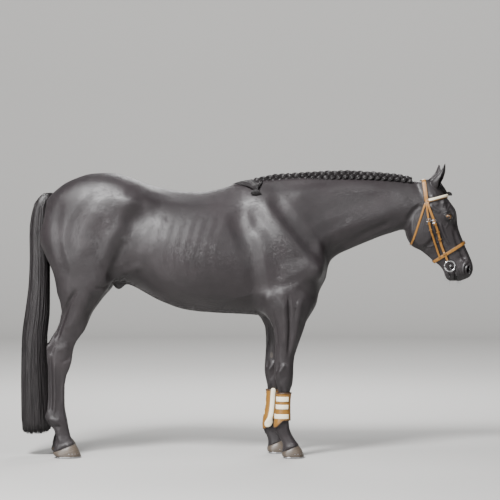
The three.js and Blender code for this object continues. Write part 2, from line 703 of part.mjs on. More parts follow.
// Strands swept forward from the withers to the tie, and the knot that hangs from it.
function witherLockSolid() {
  const route = [[-82, 1660], [-40, 1655], [5, 1641], [38, 1626], [60, 1614], [64, 1596], [66, 1580]];
  const high = [7, 17, 20, 20, 22, 20, 9];
  const deep = [7, 11, 14, 18, 22, 20, 8];
  const rings = route.map(([x, z], i) => {
    const y = skinPoint(bodyField, vec(x, 0, z), vec(0, -1, 0), 400).y;
    const turn = i < 4 ? 0 : ((i - 3) * PI) / 7; // the knot turns down
    return Array.from({ length: 8 }, (_, j) => {
      const angle = (2 * PI * j) / 8;
      const up = high[i] * sin(angle);
      return vec(x + up * sin(turn), y - 4 + deep[i] * cos(angle), z + up * cos(turn));
    });
  });
  return solid(loftGeometry(rings));
}

// The plaited forelock lies on the forehead and ends in a small knot over the browband.
function forelockSolid() {
  const middle = profile([14, 40], [50, 52], [90, 66], [125, 84], [150, 98], [180, 104]);
  const high = profile([14, 6], [40, 12], [100, 13], [135, 17], [160, 18], [180, 6]);
  const rings = [14, 30, 60, 90, 112, 130, 150, 168, 180].map((u) =>
    Array.from({ length: 8 }, (_, j) => {
      const angle = (2 * PI * j) / 8;
      return headPoint(u, middle(u) + high(u) * sin(angle), 1.15 * high(u) * cos(angle));
    }),
  );
  return solid(loftGeometry(rings));
}

// ---------- bridle ----------
const STRAP = 4; // leather thickness
const LIFT = 4; // the straps' corners stand this far off the skin, so that their flats clear it
const OVER = STRAP + 1.5; // how much higher a strap lies where it crosses another

// A strap on the surface of the head and neck. Each step is { origin, way, side, lift }: a ray, the direction
// across the strap and the gap under it.
function strapSolid(steps, width, closed = false, thick = STRAP) {
  const rings = steps.map(({ origin, way, side, lift }) => {
    const corner = (across, offset) => {
      const from = origin.clone().addScaledVector(side, across);
      return skinPoint(wholeField, from, way, 420).addScaledVector(way, offset);
    };
    const half = width / 2;
    return [corner(-half, lift), corner(half, lift), corner(half, lift + thick), corner(-half, lift + thick)];
  });
  return solid(closed ? hoopGeometry(rings) : loftGeometry(rings));
}

// Rings joined end to end into a closed hoop.
function hoopGeometry(rings) {
  const n = rings[0].length;
  const index = [];
  rings.forEach((_, r) => {
    const next = ((r + 1) % rings.length) * n;
    for (let i = 0; i < n; i++) {
      const j = (i + 1) % n;
      index.push(r * n + i, r * n + j, next + i, r * n + j, next + j, next + i);
    }
  });
  return outward(new THREE.BufferGeometry().setFromPoints(rings.flat()).setIndex(index));
}

// Rays from one point of the head's middle plane, each turned by some degrees from the way to another.
function fan(from, towards, angles, lift = LIFT) {
  const origin = headPoint(...from, 0);
  const forward = headPoint(...towards, 0).sub(origin).normalize();
  const left = vec(0, 1, 0);
  const side = forward.clone().cross(left).normalize();
  return angles.map((degrees) => {
    const angle = (degrees * PI) / 180;
    const way = forward.clone().multiplyScalar(cos(angle)).addScaledVector(left, sin(angle));
    return { origin, way, side, lift };
  });
}

const bothWays = (angles) => [...angles.map((a) => -a).reverse(), 0, ...angles];

// Rays straight out of one cheek. Each stop is [distance along the head, distance off its axis, lift].
function downCheek(side, stops) {
  const origins = stops.map(([u, v]) => headPoint(u, v, 0));
  const along = origins.at(-1).clone().sub(origins[0]).normalize();
  return stops.map(([, , lift], i) => ({
    origin: origins[i],
    way: vec(0, side, 0),
    side: vec(-along.z, 0, along.x),
    lift,
  }));
}

const crownAngles = bothWays([14, 28, 42, 56, 72, 90]);
const browAngles = bothWays([10, 20, 30, 40, 52, 70, 96]);
const noseAngles = [...bothWays([14, 25, 38, 60, 90, 120, 145, 158, 169]), 180];
const throatAngles = bothWays([6, 13, 21, 34, 55, 80, 92]);
const crownpieceSolid = () => strapSolid(fan([114, -57], [-12, -18], crownAngles, 6), 26);
const browbandSolid = () => strapSolid(fan([132, -70], [148, 84], browAngles), 23, false, STRAP + 1);
const nosebandSolid = () => strapSolid(fan([471, -56], [448, 76], noseAngles), 22, true);
const throatlatchSolid = () => strapSolid(fan([172, -105], [345, -252], throatAngles), 13);
const hangerSolid = (side) =>
  strapSolid(
    downCheek(side, [[150, -88, LIFT + 1], [250, -97, LIFT], [350, -105, LIFT], [456, -114, LIFT]]),
    14,
  );

// The cheekpiece steps up where it crosses the noseband.
const cheekpieceSolid = (side) =>
  strapSolid(
    downCheek(side, [
      [150, -66, LIFT], [220, -68, LIFT], [290, -70, LIFT], [360, -73, LIFT], [428, -75, LIFT],
      [446, -75, LIFT + OVER], [508, -77, LIFT + OVER],
    ]),
    19,
  );

const BIT_RING = 31; // radius of the ring's middle circle
const BIT_WIRE = 4;
// A loose ring against the lips, and the end of the mouthpiece that it runs through.
function bitRingSolid(side) {
  const cheek = (du, dv) => skinPoint(headField, headPoint(550 + du, -76 + dv, 0), vec(0, side, 0), 200);
  const around = Array.from({ length: 12 }, (_, i) =>
    abs(cheek(BIT_RING * cos((PI * i) / 6), BIT_RING * sin((PI * i) / 6)).y),
  );
  const middle = cheek(0, 0);
  const out = max(...around) + BIT_WIRE + 2;
  const ring = new THREE.TorusGeometry(BIT_RING, BIT_WIRE, 4, 14).rotateX(PI / 2);
  const mouth = cheek(0.78 * BIT_RING, 0.62 * BIT_RING);
  const near = abs(mouth.y) + 4;
  const far = out + BIT_WIRE + 2;
  const butt = new THREE.CylinderGeometry(6.5, 7.5, far - near, 6);
  butt.translate(mouth.x, (side * (near + far)) / 2, mouth.z);
  return solid(ring.translate(middle.x, side * out, middle.z)).add(solid(butt));
}

// ---------- boots ----------
const BOOT = { top: 392, low: 214, thick: 8, gap: 1.6, straps: [237, 294, 340], strapWidth: 30 };
const bootCentre = (z, side, shift) =>
  vec((foreLeg.front(z) + foreLeg.back(z)) / 2 + shift(z), side * foreLeg.middle(z), z);

function bootShape(side, shift) {
  const stations = [BOOT.top, 355, 305, 262, BOOT.low].map((z) => ({
    centre: bootCentre(z, side, shift),
    across: vec(0, 1, 0),
    up: vec(1, 0, 0),
  }));
  return solid(castLoft(bodyField, stations, LEG_SIDES, 160, BOOT.gap + BOOT.thick));
}

// A band on part of the boot, between two heights, at each angle from ahead towards the outside.
function bootBand(side, shift, low, high, angles, thick) {
  const lift = BOOT.gap + BOOT.thick + 2;
  const rings = angles.map((degrees) => {
    const angle = (degrees * PI) / 180;
    const way = vec(cos(angle), side * sin(angle), 0);
    const corner = (z, offset) =>
      skinPoint(bodyField, bootCentre(z, side, shift), way, 160).addScaledVector(way, offset);
    return [corner(low, lift), corner(high, lift), corner(high, lift + thick), corner(low, lift + thick)];
  });
  return solid(loftGeometry(rings));
}

// ---------- the horse ----------
const trunkRoom = trunkSolid(6);
const headRoom = headSolid(1.2);
const flesh = trunkRoom.add(headRoom).add(neckLoft(-3, 1.2));

add("trunk", trunkSolid(), coat);
add("neck", neckLoft(GAP, 0).subtract(headRoom), coat);
let head = headSolid();
for (const [name, side] of SIDES) {
  head = head.subtract(eyeBall(side, EYE_RADIUS + GAP));
  add("eye_" + name, eyeBall(side, EYE_RADIUS), eyeGlaze);
  add("ear_" + name, ear(side, side > 0 ? 22 : 0).subtract(headRoom), coat);
}
add("head", head, coat);

for (const [name, side] of SIDES) {
  const foreShift = side > 0 ? leftFore : still;
  const hindShift = side > 0 ? leftHind : still;
  const foreleg = (swell) => legSolid(foreLeg, side, FORE_CUT - GAP / 2, foreHeights, foreShift, swell);
  add("foreleg_" + name, foreleg(0), coat);
  add("hindleg_" + name, legSolid(hindLeg, side, HIND_CUT - GAP / 2, hindHeights, hindShift, 0), coat);
  add("hoof_fore_" + name, hoofSolid(foreLeg, side, foreShift), horn);
  add("hoof_hind_" + name, hoofSolid(hindLeg, side, hindShift), horn);
  add("shoe_fore_" + name, shoeSolid(foreLeg, side, foreShift), steel);
  add("shoe_hind_" + name, shoeSolid(hindLeg, side, hindShift), steel);
  add("boot_" + name, bootShape(side, foreShift).subtract(foreleg(BOOT.gap)), leather);
  BOOT.straps.forEach((low, i) => {
    const strap = bootBand(side, foreShift, low, low + BOOT.strapWidth, [30, 60, 90, 120, 150], 3);
    add("boot_strap_" + name + "_" + (i + 1), strap, cream);
  });
  add("boot_pad_" + name, bootBand(side, foreShift, BOOT.low + 4, BOOT.top - 4, [-120, -90, -60], 5), cream);
}
add("tail", tailSolid().subtract(trunkRoom), hair);
add("mane_braid", braidSolid().subtract(flesh), hair);
add("mane_lock", witherLockSolid().subtract(flesh).subtract(braidSolid()), hair);
add("forelock", forelockSolid().subtract(headSolid(LIFT + STRAP + 3)), hair);
add("crownpiece", crownpieceSolid(), leather);
add("browband", browbandSolid(), leather);
add("noseband", nosebandSolid(), leather);
add("throatlatch", throatlatchSolid(), leather);
for (const [name, side] of SIDES) {
  add("cheekpiece_" + name, cheekpieceSolid(side), leather);
  add("noseband_hanger_" + name, hangerSolid(side), leather);
  add("bit_ring_" + name, bitRingSolid(side), steel);
}

// The origin is at the middle of the floor under the horse.
const box = new THREE.Box3().setFromObject(horse, true);
horse.position.set(-(box.min.x + box.max.x) / 2, -(box.min.y + box.max.y) / 2, 0);

export default horse;
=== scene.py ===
import math
import bpy
import numpy as np
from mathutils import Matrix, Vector
from mathutils.bvhtree import BVHTree


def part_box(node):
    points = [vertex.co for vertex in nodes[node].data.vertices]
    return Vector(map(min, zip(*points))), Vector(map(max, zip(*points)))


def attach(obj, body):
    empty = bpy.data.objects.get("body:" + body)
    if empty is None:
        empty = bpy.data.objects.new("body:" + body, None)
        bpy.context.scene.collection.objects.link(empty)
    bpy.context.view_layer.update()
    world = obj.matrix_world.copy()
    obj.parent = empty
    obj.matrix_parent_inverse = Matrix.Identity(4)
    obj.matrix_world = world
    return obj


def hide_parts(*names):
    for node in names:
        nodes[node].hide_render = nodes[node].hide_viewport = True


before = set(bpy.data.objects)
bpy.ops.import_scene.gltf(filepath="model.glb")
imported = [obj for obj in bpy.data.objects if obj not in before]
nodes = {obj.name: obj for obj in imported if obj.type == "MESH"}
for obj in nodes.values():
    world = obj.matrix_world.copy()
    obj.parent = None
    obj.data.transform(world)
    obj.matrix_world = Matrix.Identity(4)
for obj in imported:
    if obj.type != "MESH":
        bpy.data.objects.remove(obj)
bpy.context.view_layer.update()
sides = {"right": -1, "left": 1}
# the hind legs lie behind this x, and the feet below this z
hindBehind, feetBelow = -0.2, 0.16
bpy.ops.object.select_all(action="DESELECT")


# small helpers
def pick(*objects):
    bpy.ops.object.select_all(action="DESELECT")
    for o in objects:
        o.select_set(True)
    bpy.context.view_layer.objects.active = objects[0]


def modify(o, kind, **settings):
    pick(o)
    m = o.modifiers.new(kind.lower(), kind)
    for key, value in settings.items():
        setattr(m, key, value)
    bpy.ops.object.modifier_apply(modifier=m.name)


def readAll(items, attribute, kind, size=1):
    # one attribute of every item of a mesh, in rows where it has several numbers
    values = np.empty(len(items) * size, kind)
    items.foreach_get(attribute, values)
    return values.reshape(-1, size) if size > 1 else values


def points(o):
    return readAll(o.data.vertices, "co", np.float32, 3).astype(float)


def movePoints(o, co):
    o.data.vertices.foreach_set("co", co.astype(np.float32).ravel())
    o.data.update()


def normalsOf(o):
    return readAll(o.data.vertex_normals, "vector", np.float32, 3).astype(float)


def twin(source):
    o = source.copy()
    o.data = source.data.copy()
    o.parent = None
    bpy.context.collection.objects.link(o)
    return o


def copyOf(name):
    return twin(nodes[name])


def linked(name, mesh):
    o = bpy.data.objects.new(name, mesh)
    bpy.context.collection.objects.link(o)
    return o


def meshObject(name, verts, faces):
    mesh = bpy.data.meshes.new(name)
    mesh.from_pydata([tuple(v) for v in verts], [], faces)
    mesh.update()
    return linked(name, mesh)


def arrayMesh(name, verts, faces):
    # the same from large arrays, where all faces have as many corners
    mesh = bpy.data.meshes.new(name)
    mesh.vertices.add(len(verts))
    mesh.vertices.foreach_set("co", verts.astype(np.float32).ravel())
    mesh.loops.add(faces.size)
    mesh.loops.foreach_set("vertex_index", faces.astype(np.int32).ravel())
    mesh.polygons.add(len(faces))
    mesh.polygons.foreach_set("loop_start", (np.arange(len(faces)) * faces.shape[1]).astype(np.int32))
    mesh.update(calc_edges=True)
    return linked(name, mesh)


def cornersOf(mesh):
    # the point that each corner of each face stands on
    return readAll(mesh.loops, "vertex_index", np.int32)


def addMap(o, name, uv):
    layer = o.data.uv_layers.new(name=name)
    layer.data.foreach_set("uv", uv.astype(np.float32).ravel())


def treeOf(o):
    return BVHTree.FromObject(o, bpy.context.evaluated_depsgraph_get())


def joined(name, parts):
    pick(*parts)
    if len(parts) > 1:
        bpy.ops.object.join()
    o = bpy.context.object
    o.name = o.data.name = name
    return o


def editAll(o, *steps):
    # runs mesh operators on everything in edit mode, each step an operator and its settings
    pick(o)
    bpy.ops.object.mode_set(mode="EDIT")
    bpy.ops.mesh.select_all(action="SELECT")
    for operator, settings in steps:
        operator(**settings)
    bpy.ops.object.mode_set(mode="OBJECT")


def chooseNone(o):
    editAll(o, (bpy.ops.mesh.select_all, {"action": "DESELECT"}))


def loftFaces(sections, count, hoop=False):
    # quads between sections of the same number of points; the ends are capped unless they meet
    following = [*range(1, sections), 0] if hoop else range(1, sections)
    faces = [
        (i * count + j, i * count + (j + 1) % count, k * count + (j + 1) % count, k * count + j)
        for i, k in enumerate(following)
        for j in range(count)
    ]
    if not hoop:
        faces += [tuple(range(count))[::-1], tuple(range((sections - 1) * count, sections * count))]
    return faces


def ringLoft(name, rings, hoop=False):
    # a closed body from rings of the same number of points
    o = meshObject(name, np.concatenate(rings), loftFaces(len(rings), len(rings[0]), hoop))
    editAll(o, (bpy.ops.mesh.normals_make_consistent, {"inside": False}))
    return o


def smoothLoft(name, rings, hoop=False):
    o = ringLoft(name, rings, hoop)
    bpy.ops.object.shade_smooth()
    return o


def roundAngles(count):
    return np.linspace(0, 2 * math.pi, count, endpoint=False)


def blunt(wave, power):
    # a sine or cosine drawn towards a square wave, for rounded rectangles
    return np.sign(wave) * np.abs(wave) ** power


def triple(x, y, z):
    # points or directions from three columns or numbers
    return np.column_stack(np.broadcast_arrays(x, y, z))


def blend(first, second, share):
    return first * (1 - share)[:, None] + second * share[:, None]


def ramp(low, high, x):
    t = np.clip((x - low) / (high - low), 0, 1)
    return t * t * (3 - 2 * t)


def unit(v):
    return v / np.maximum(np.linalg.norm(v, axis=-1, keepdims=True), 1e-12)


def smoothShade(o):
    pick(o)
    bpy.ops.object.shade_smooth()


def middleOf(values):
    return (values.max() + values.min()) / 2


def runOf(path, closed=False):
    # the direction of the path at each of its points
    return unit(np.roll(path, -1, 0) - np.roll(path, 1, 0) if closed else np.gradient(path, axis=0))


def lengthAlong(path):
    return np.concatenate([[0], np.cumsum(np.linalg.norm(np.diff(path, axis=0), axis=1))])


def curveThrough(stops, count):
    # evenly spaced points on a smooth curve through the stops
    stops = np.array(stops, float)
    ends = np.vstack([2 * stops[0] - stops[1], stops, 2 * stops[-1] - stops[-2]])
    fine = []
    for a, b, c, d in zip(ends, ends[1:], ends[2:], ends[3:]):
        t = np.linspace(0, 1, 24, endpoint=False)[:, None]
        square, cube = (2 * a - 5 * b + 4 * c - d) * t**2, (3 * b - a - 3 * c + d) * t**3
        fine.append(0.5 * (2 * b + (c - a) * t + square + cube))
    fine = np.vstack([*fine, stops[-1:]])
    run = lengthAlong(fine)
    at = np.linspace(0, run[-1], count)
    return np.column_stack([np.interp(at, run, fine[:, k]) for k in range(stops.shape[1])])


# head frame: u runs from the poll to the lips, v towards the face
headPlan = {"poll": (1.0964, 0, 1.69), "turn": math.radians(22)}
poll = np.array(headPlan["poll"])
downFace = np.array((math.sin(headPlan["turn"]), 0, -math.cos(headPlan["turn"])))
offFace = np.array((math.cos(headPlan["turn"]), 0, math.sin(headPlan["turn"])))


def headPoint(u, v, y=0.0):
    return poll + downFace * u + offFace * v + np.array((0, y, 0))


def headCoords(p):
    return np.column_stack([(p - poll) @ downFace, (p - poll) @ offFace])


# skin: the nodes of flesh as one surface
skinPlan = {"voxel": 0.006, "coat": 0.003, "faces": 188000}
fleshNodes = ["trunk", "neck", "head"] + [leg + "_" + s for leg in ("foreleg", "hindleg") for s in sides]
earNodes = ["ear_" + s for s in sides]
hoofNodes = [f"hoof_{end}_{s}" for end in ("fore", "hind") for s in sides]
coronetTilt = math.radians(22)
coronetUp = np.array((-math.sin(coronetTilt), 0, math.cos(coronetTilt)))
coronets = {end: (points(nodes[f"hoof_{end}_right"]) @ coronetUp).max() for end in ("fore", "hind")}


def aboveCoronet(p):
    # how far each point lies above the top of the nearest hoof
    return p @ coronetUp - np.where(p[:, 0] < hindBehind, coronets["hind"], coronets["fore"])


def weighted(o, kind, weights, steps, **settings):
    # a modifier that works by weight, with the weights rounded to so many steps
    group = o.vertex_groups.new(name="weights")
    levels = np.round(weights * steps).astype(int)
    for level in np.unique(levels):
        if level:
            group.add(np.flatnonzero(levels == level).tolist(), level / steps, "REPLACE")
    modify(o, kind, vertex_group="weights", **settings)
    o.vertex_groups.remove(o.vertex_groups["weights"])


def smoothed(o, weights, passes):
    weighted(o, "SMOOTH", weights, 20, iterations=passes, factor=0.5)


def fair(o, weights, passes):
    # smooths facets away, then puts back the bulk that the smoothing took
    smoothed(o, weights, passes)
    once = points(o)
    smoothed(o, weights, passes)
    movePoints(o, 2 * once - points(o))


def regions(p):
    # how much each point belongs to the head, to a leg and to the trunk
    uv = headCoords(p)
    head = ramp(-0.02, 0.05, uv[:, 0]) * ramp(0.92, 1.02, p[:, 0])
    fore = ramp(-0.02, 0.08, p[:, 0]) * ramp(0.94, 0.78, p[:, 2])
    hind = ramp(-0.78, -0.88, p[:, 0]) * ramp(1.08, 0.9, p[:, 2])
    leg = np.maximum(fore, hind)
    return head, leg, np.clip((1 - head) * (1 - leg), 0, 1)


def subdivideWhere(o, wanted):
    # divides the faces whose points are all wanted
    chooseNone(o)
    starts = readAll(o.data.polygons, "loop_start", np.int32)
    chosen = np.minimum.reduceat(wanted[cornersOf(o.data)].astype(np.int32), starts).astype(bool)
    o.data.polygons.foreach_set("select", chosen)
    bpy.ops.object.mode_set(mode="EDIT")
    bpy.ops.mesh.select_mode(type="FACE")
    bpy.ops.mesh.subdivide(number_cuts=1)
    bpy.ops.mesh.select_mode(type="VERT")
    bpy.ops.object.mode_set(mode="OBJECT")


def baseSkin():
    # the eyeballs fill their sockets, a little swollen, so that the lids can form over them
    plugs = [copyOf("eye_" + s) for s in sides]
    for plug in plugs:
        p = points(plug)
        movePoints(plug, p.mean(0) + (p - p.mean(0)) * 1.09)
    # the legs run on down inside the hooves, so that they meet the coronets full width
    for name in hoofNodes:
        foot = copyOf(name)
        p = points(foot)
        movePoints(foot, np.column_stack([p[:, :2], np.maximum(p[:, 2], 0.020)]))
        plugs.append(foot)
    o = joined("skin", [copyOf(n) for n in fleshNodes] + plugs)
    editAll(o, (bpy.ops.mesh.remove_doubles, {"threshold": 1e-5}))
    modify(o, "REMESH", mode="VOXEL", voxel_size=skinPlan["voxel"])
    head, leg, trunk = regions(points(o))
    fair(o, trunk, 150)
    fair(o, np.ones(len(head)), 18)
    subdivideWhere(o, regions(points(o))[0] > 0.9)
    fair(o, regions(points(o))[0], 4)
    return o


def nearRoute(q, route):
    # each point's distance from a route, and how far along the route it lies, from 0 to 1
    route = np.array(route, float)
    lengths = np.linalg.norm(np.diff(route, axis=0), axis=1)
    distance, along, run = np.full(len(q), 1e9), np.zeros(len(q)), 0.0
    for a, b, length in zip(route, route[1:], lengths):
        t = np.clip((q - a) @ (b - a) / length**2, 0, 1)
        d = np.linalg.norm(q - a - t[:, None] * (b - a), axis=1)
        closer = d < distance
        distance = np.where(closer, d, distance)
        along = np.where(closer, (run + t * length) / lengths.sum(), along)
        run += length
    return distance, along


def stroke(q, route, width, height, ends=0.18):
    # how far a stroke along the route lifts each point; a negative height makes a groove
    low, high = np.min(route, axis=0) - width, np.max(route, axis=0) + width
    near = np.flatnonzero(np.all((q > low) & (q < high), axis=1))
    lift = np.zeros(len(q))
    distance, along = nearRoute(q[near], curveThrough(route, 8 * len(route)) if len(route) > 2 else route)
    across = np.clip(1 - (distance / width) ** 2, 0, 1) ** 2
    lift[near] = height * across * ramp(0, ends, along + 0.02) * ramp(0, ends, 1.02 - along)
    return lift


def dab(q, centre, reach, height, turn=0.0):
    # one push of a round or oval brush
    c, s = math.cos(turn), math.sin(turn)
    d = q - np.array(centre)
    along, across = d[:, 0] * c + d[:, 1] * s, d[:, 1] * c - d[:, 0] * s
    return height * np.clip(1 - (along / reach[0]) ** 2 - (across / reach[1]) ** 2, 0, 1) ** 2


# each form is a route seen from the side as (x, z), a width and a height, all in metres
flankForms = [
    ([(0.14, 1.60), (0.22, 1.48), (0.32, 1.35), (0.42, 1.21), (0.47, 1.13)], 0.064, -0.0080),
    ([(0.08, 1.56), (0.14, 1.46), (0.23, 1.34), (0.34, 1.20)], 0.064, 0.0060),
    ([(0.02, 1.50), (0.07, 1.42), (0.15, 1.31)], 0.055, -0.0025),
    ([(-0.07, 1.5), (-0.05, 1.4), (0, 1.28), (0.04, 1.17), (0.05, 1.06), (0.09, 0.97)], 0.075, -0.0105),
    ([(0.04, 1.38), (0.09, 1.27), (0.11, 1.14), (0.15, 1.04)], 0.075, 0.0060),
    ([(0.14, 1.02), (0.22, 1.04), (0.31, 1.08), (0.38, 1.12)], 0.040, -0.0045),
    ([(0.20, 1.15), (0.29, 1.12), (0.36, 1.07)], 0.060, 0.0040),
    ([(0.30, 1.03), (0.37, 0.99), (0.41, 0.95)], 0.030, -0.005),
    ([(-0.70, 1.50), (-0.76, 1.40), (-0.82, 1.28), (-0.86, 1.16)], 0.050, 0.006),
    ([(-0.72, 1.32), (-0.76, 1.22), (-0.80, 1.13), (-0.83, 1.06)], 0.040, -0.010),
    ([(-0.62, 1.16), (-0.70, 1.13), (-0.77, 1.09), (-0.82, 1.06)], 0.035, 0.009),
    ([(-0.82, 1.63), (-0.93, 1.55), (-1.01, 1.44), (-1.05, 1.32), (-1.03, 1.18)], 0.050, -0.006),
    ([(-1.11, 1.56), (-1.135, 1.44), (-1.135, 1.33), (-1.11, 1.20), (-1.075, 1.08)], 0.046, -0.0065),
    ([(-0.88, 1.50), (-0.94, 1.36), (-0.96, 1.22)], 0.075, 0.006),
    ([(-0.70, 1.60), (-0.80, 1.65), (-0.90, 1.66)], 0.060, 0.004),
    ([(-0.50, 1.60), (-0.30, 1.57), (-0.14, 1.58)], 0.060, -0.006),
    ([(-0.55, 1.11), (-0.35, 1.00), (-0.10, 0.96), (0.05, 0.98)], 0.045, 0.004),
    ([(-0.30, 0.975), (-0.16, 0.955), (-0.02, 0.975), (0.07, 1.00)], 0.007, 0.0024),
    ([(0.90, 1.43), (0.76, 1.37), (0.62, 1.30), (0.50, 1.22)], 0.034, -0.009),
    ([(0.93, 1.49), (0.78, 1.45), (0.62, 1.40), (0.47, 1.31), (0.38, 1.20)], 0.060, 0.007),
    ([(0.96, 1.56), (0.80, 1.56), (0.62, 1.53), (0.44, 1.48), (0.30, 1.40)], 0.060, -0.005),
    ([(0.86, 1.635), (0.66, 1.635), (0.44, 1.615), (0.24, 1.58)], 0.055, 0.009),
    ([(-0.905, 1.026), (-0.86, 1.027), (-0.83, 1.035)], 0.016, -0.006),
    ([(-1.010, 1.02), (-1.075, 0.92), (-1.120, 0.81), (-1.142, 0.735), (-1.164, 0.695)], 0.022, -0.014),
    ([(-0.94, 1.00), (-1.005, 0.89), (-1.055, 0.81), (-1.085, 0.76)], 0.046, 0.010),
    ([(-1.118, 0.88), (-1.150, 0.79), (-1.175, 0.735), (-1.198, 0.69)], 0.014, 0.007),
    ([(0.250, 0.99), (0.254, 0.86), (0.254, 0.74), (0.246, 0.60)], 0.014, -0.0105),
    ([(0.325, 0.98), (0.310, 0.86), (0.290, 0.74), (0.275, 0.64)], 0.026, 0.007),
    ([(0.222, 0.95), (0.226, 0.80), (0.224, 0.66)], 0.026, 0.009),
    ([(0.150, 0.90), (0.170, 0.78), (0.180, 0.66)], 0.013, -0.006),
]
flankDabs = [
    ((0.425, 1.12), (0.075, 0.07), 0.010, 0.5), ((-0.700, 1.530), (0.10, 0.075), 0.008, -0.4),
    ((-0.665, 1.44), (0.11, 0.09), -0.010, 0.0), ((-0.875, 1.09), (0.07, 0.08), 0.008, 0.3),
    ((-1.222, 1.45), (0.05, 0.08), 0.008, 0.0), ((-1.000, 0.805), (0.080, 0.125), 0.014, 0.0),
    ((0.125, 0.965), (0.045, 0.05), 0.010, 0.0),
    ((0.06, 1.57), (0.10, 0.12), 0.004, 0.9), ((-0.04, 1.22), (0.16, 0.22), -0.003, 0.0),
]
ribForms = [
    ([(x, 1.47), (x - 0.05, 1.30), (x - 0.06, 1.17), (x - 0.02, 1.05)], 0.026, 0.0013)
    for x in (-0.13 - 0.062 * i for i in range(9))
]
legForms = [
    ([(-1.187, 0.61), (-1.186, 0.50), (-1.184, 0.40), (-1.184, 0.31), (-1.190, 0.265)], 0.0145, -0.0105),
    ([(-1.160, 0.58), (-1.158, 0.47), (-1.157, 0.36), (-1.162, 0.285), (-1.174, 0.258)], 0.0120, 0.0085),
    ([(-1.205, 0.69), (-1.203, 0.62), (-1.200, 0.55)], 0.012, 0.005),
    ([(-1.120, 0.57), (-1.124, 0.44), (-1.125, 0.32)], 0.018, -0.004),
    ([(-1.140, 0.70), (-1.168, 0.665), (-1.182, 0.62)], 0.018, -0.008),
    ([(-1.075, 0.70), (-1.105, 0.67), (-1.125, 0.64)], 0.026, 0.005),
    ([(-1.055, 0.62), (-1.085, 0.590), (-1.120, 0.575)], 0.018, -0.006),
    ([(-1.202, 0.245), (-1.172, 0.228), (-1.124, 0.218)], 0.024, 0.0065),
    ([(-1.185, 0.200), (-1.165, 0.190), (-1.125, 0.186)], 0.018, -0.0070),
    ([(-1.135, 0.20), (-1.110, 0.16), (-1.085, 0.12)], 0.018, -0.004),
    ([(-1.150, 0.16), (-1.135, 0.12), (-1.110, 0.09)], 0.016, 0.005),
    ([(0.203, 0.44), (0.205, 0.36), (0.203, 0.26)], 0.011, -0.008),
    ([(0.185, 0.44), (0.187, 0.34), (0.183, 0.25)], 0.012, 0.005),
    ([(0.232, 0.44), (0.230, 0.34), (0.228, 0.26)], 0.018, 0.004),
    ([(0.226, 0.568), (0.212, 0.545), (0.190, 0.510)], 0.018, 0.0090),
    ([(0.235, 0.500), (0.215, 0.480), (0.200, 0.455)], 0.020, -0.004),
    ([(0.190, 0.580), (0.180, 0.550), (0.178, 0.520)], 0.012, -0.005),
    ([(0.200, 0.235), (0.195, 0.215), (0.200, 0.190)], 0.022, 0.006),
    ([(0.235, 0.225), (0.225, 0.190), (0.228, 0.165)], 0.016, -0.004),
    ([(0.245, 0.20), (0.262, 0.16), (0.285, 0.12)], 0.018, -0.004),
]
legDabs = [
    ((-1.085, 0.655), (0.030, 0.036), 0.007, 0.0), ((-1.202, 0.672), (0.022, 0.028), 0.008, 0.0),
    ((0.245, 0.545), (0.045, 0.040), 0.004, 0.0), ((0.180, 0.505), (0.022, 0.035), 0.006, 0.0),
    ((0.190, 0.212), (0.026, 0.026), 0.006, 0.0), ((-1.150, 0.066), (0.030, 0.026), 0.005, 0.0),
]
# on the head a route is (u, v): along the face from the poll, and off it
faceForms = [
    ([(0.275, -0.036), (0.33, -0.040), (0.39, -0.038), (0.43, -0.030)], 0.013, 0.0065),
    ([(0.275, -0.062), (0.34, -0.066), (0.41, -0.062)], 0.022, -0.004),
    ([(0.225, -0.012), (0.19, -0.038), (0.155, -0.058)], 0.016, 0.006),
    ([(0.208, 0.052), (0.196, 0.040), (0.182, 0.024)], 0.030, -0.008),
    ([(0.215, 0.052), (0.245, 0.062), (0.280, 0.056), (0.305, 0.040)], 0.014, 0.004),
    ([(0.335, 0.028), (0.42, 0.020), (0.50, 0.020), (0.56, 0.028)], 0.020, -0.0055),
    ([(0.31, 0.052), (0.40, 0.042), (0.50, 0.042), (0.57, 0.046)], 0.014, 0.003),
    ([(0.34, -0.075), (0.37, -0.13), (0.395, -0.185)], 0.024, -0.007),
    ([(0.135, -0.10), (0.155, -0.16), (0.195, -0.222)], 0.022, -0.007),
    ([(0.385, -0.195), (0.395, -0.13), (0.385, -0.08), (0.37, -0.03)], 0.006, 0.0030),
    ([(0.44, -0.055), (0.40, -0.075), (0.385, -0.10)], 0.005, 0.0022),
    ([(0.300, 0.012), (0.315, -0.008), (0.328, -0.022)], 0.006, 0.0020),
    ([(0.545, -0.066), (0.575, -0.067), (0.6, -0.066), (0.632, -0.071), (0.658, -0.078)], 0.0085, -0.01),
    ([(0.550, -0.050), (0.585, -0.048), (0.630, -0.053)], 0.016, 0.003),
    ([(0.575, -0.084), (0.610, -0.084), (0.640, -0.090)], 0.014, 0.003),
    ([(0.560, -0.102), (0.585, -0.104), (0.610, -0.100)], 0.010, -0.004),
    ([(0.530, -0.050), (0.540, -0.068), (0.540, -0.086)], 0.006, -0.0025),
    ([(0.518, -0.046), (0.526, -0.066), (0.525, -0.088)], 0.006, -0.0018),
    ([(0.566, 0.046), (0.564, 0.024), (0.576, 0.004), (0.604, -0.012), (0.638, -0.015)], 0.0090, 0.0034),
    ([(0.579, 0.045), (0.579, 0.022), (0.588, 0.006), (0.606, -0.002), (0.634, -0.005)], 0.0070, -0.0038),
    ([(0.590, 0.028), (0.597, 0.014), (0.612, 0.008)], 0.0070, 0.0022),
    ([(0.600, 0.046), (0.622, 0.038), (0.640, 0.022), (0.645, 0.006)], 0.014, 0.0020),
    ([(0.535, 0.034), (0.525, 0.010), (0.532, -0.020)], 0.020, -0.0030),
    ([(0.10, -0.02), (0.14, -0.015), (0.18, -0.01)], 0.020, 0.004),
]


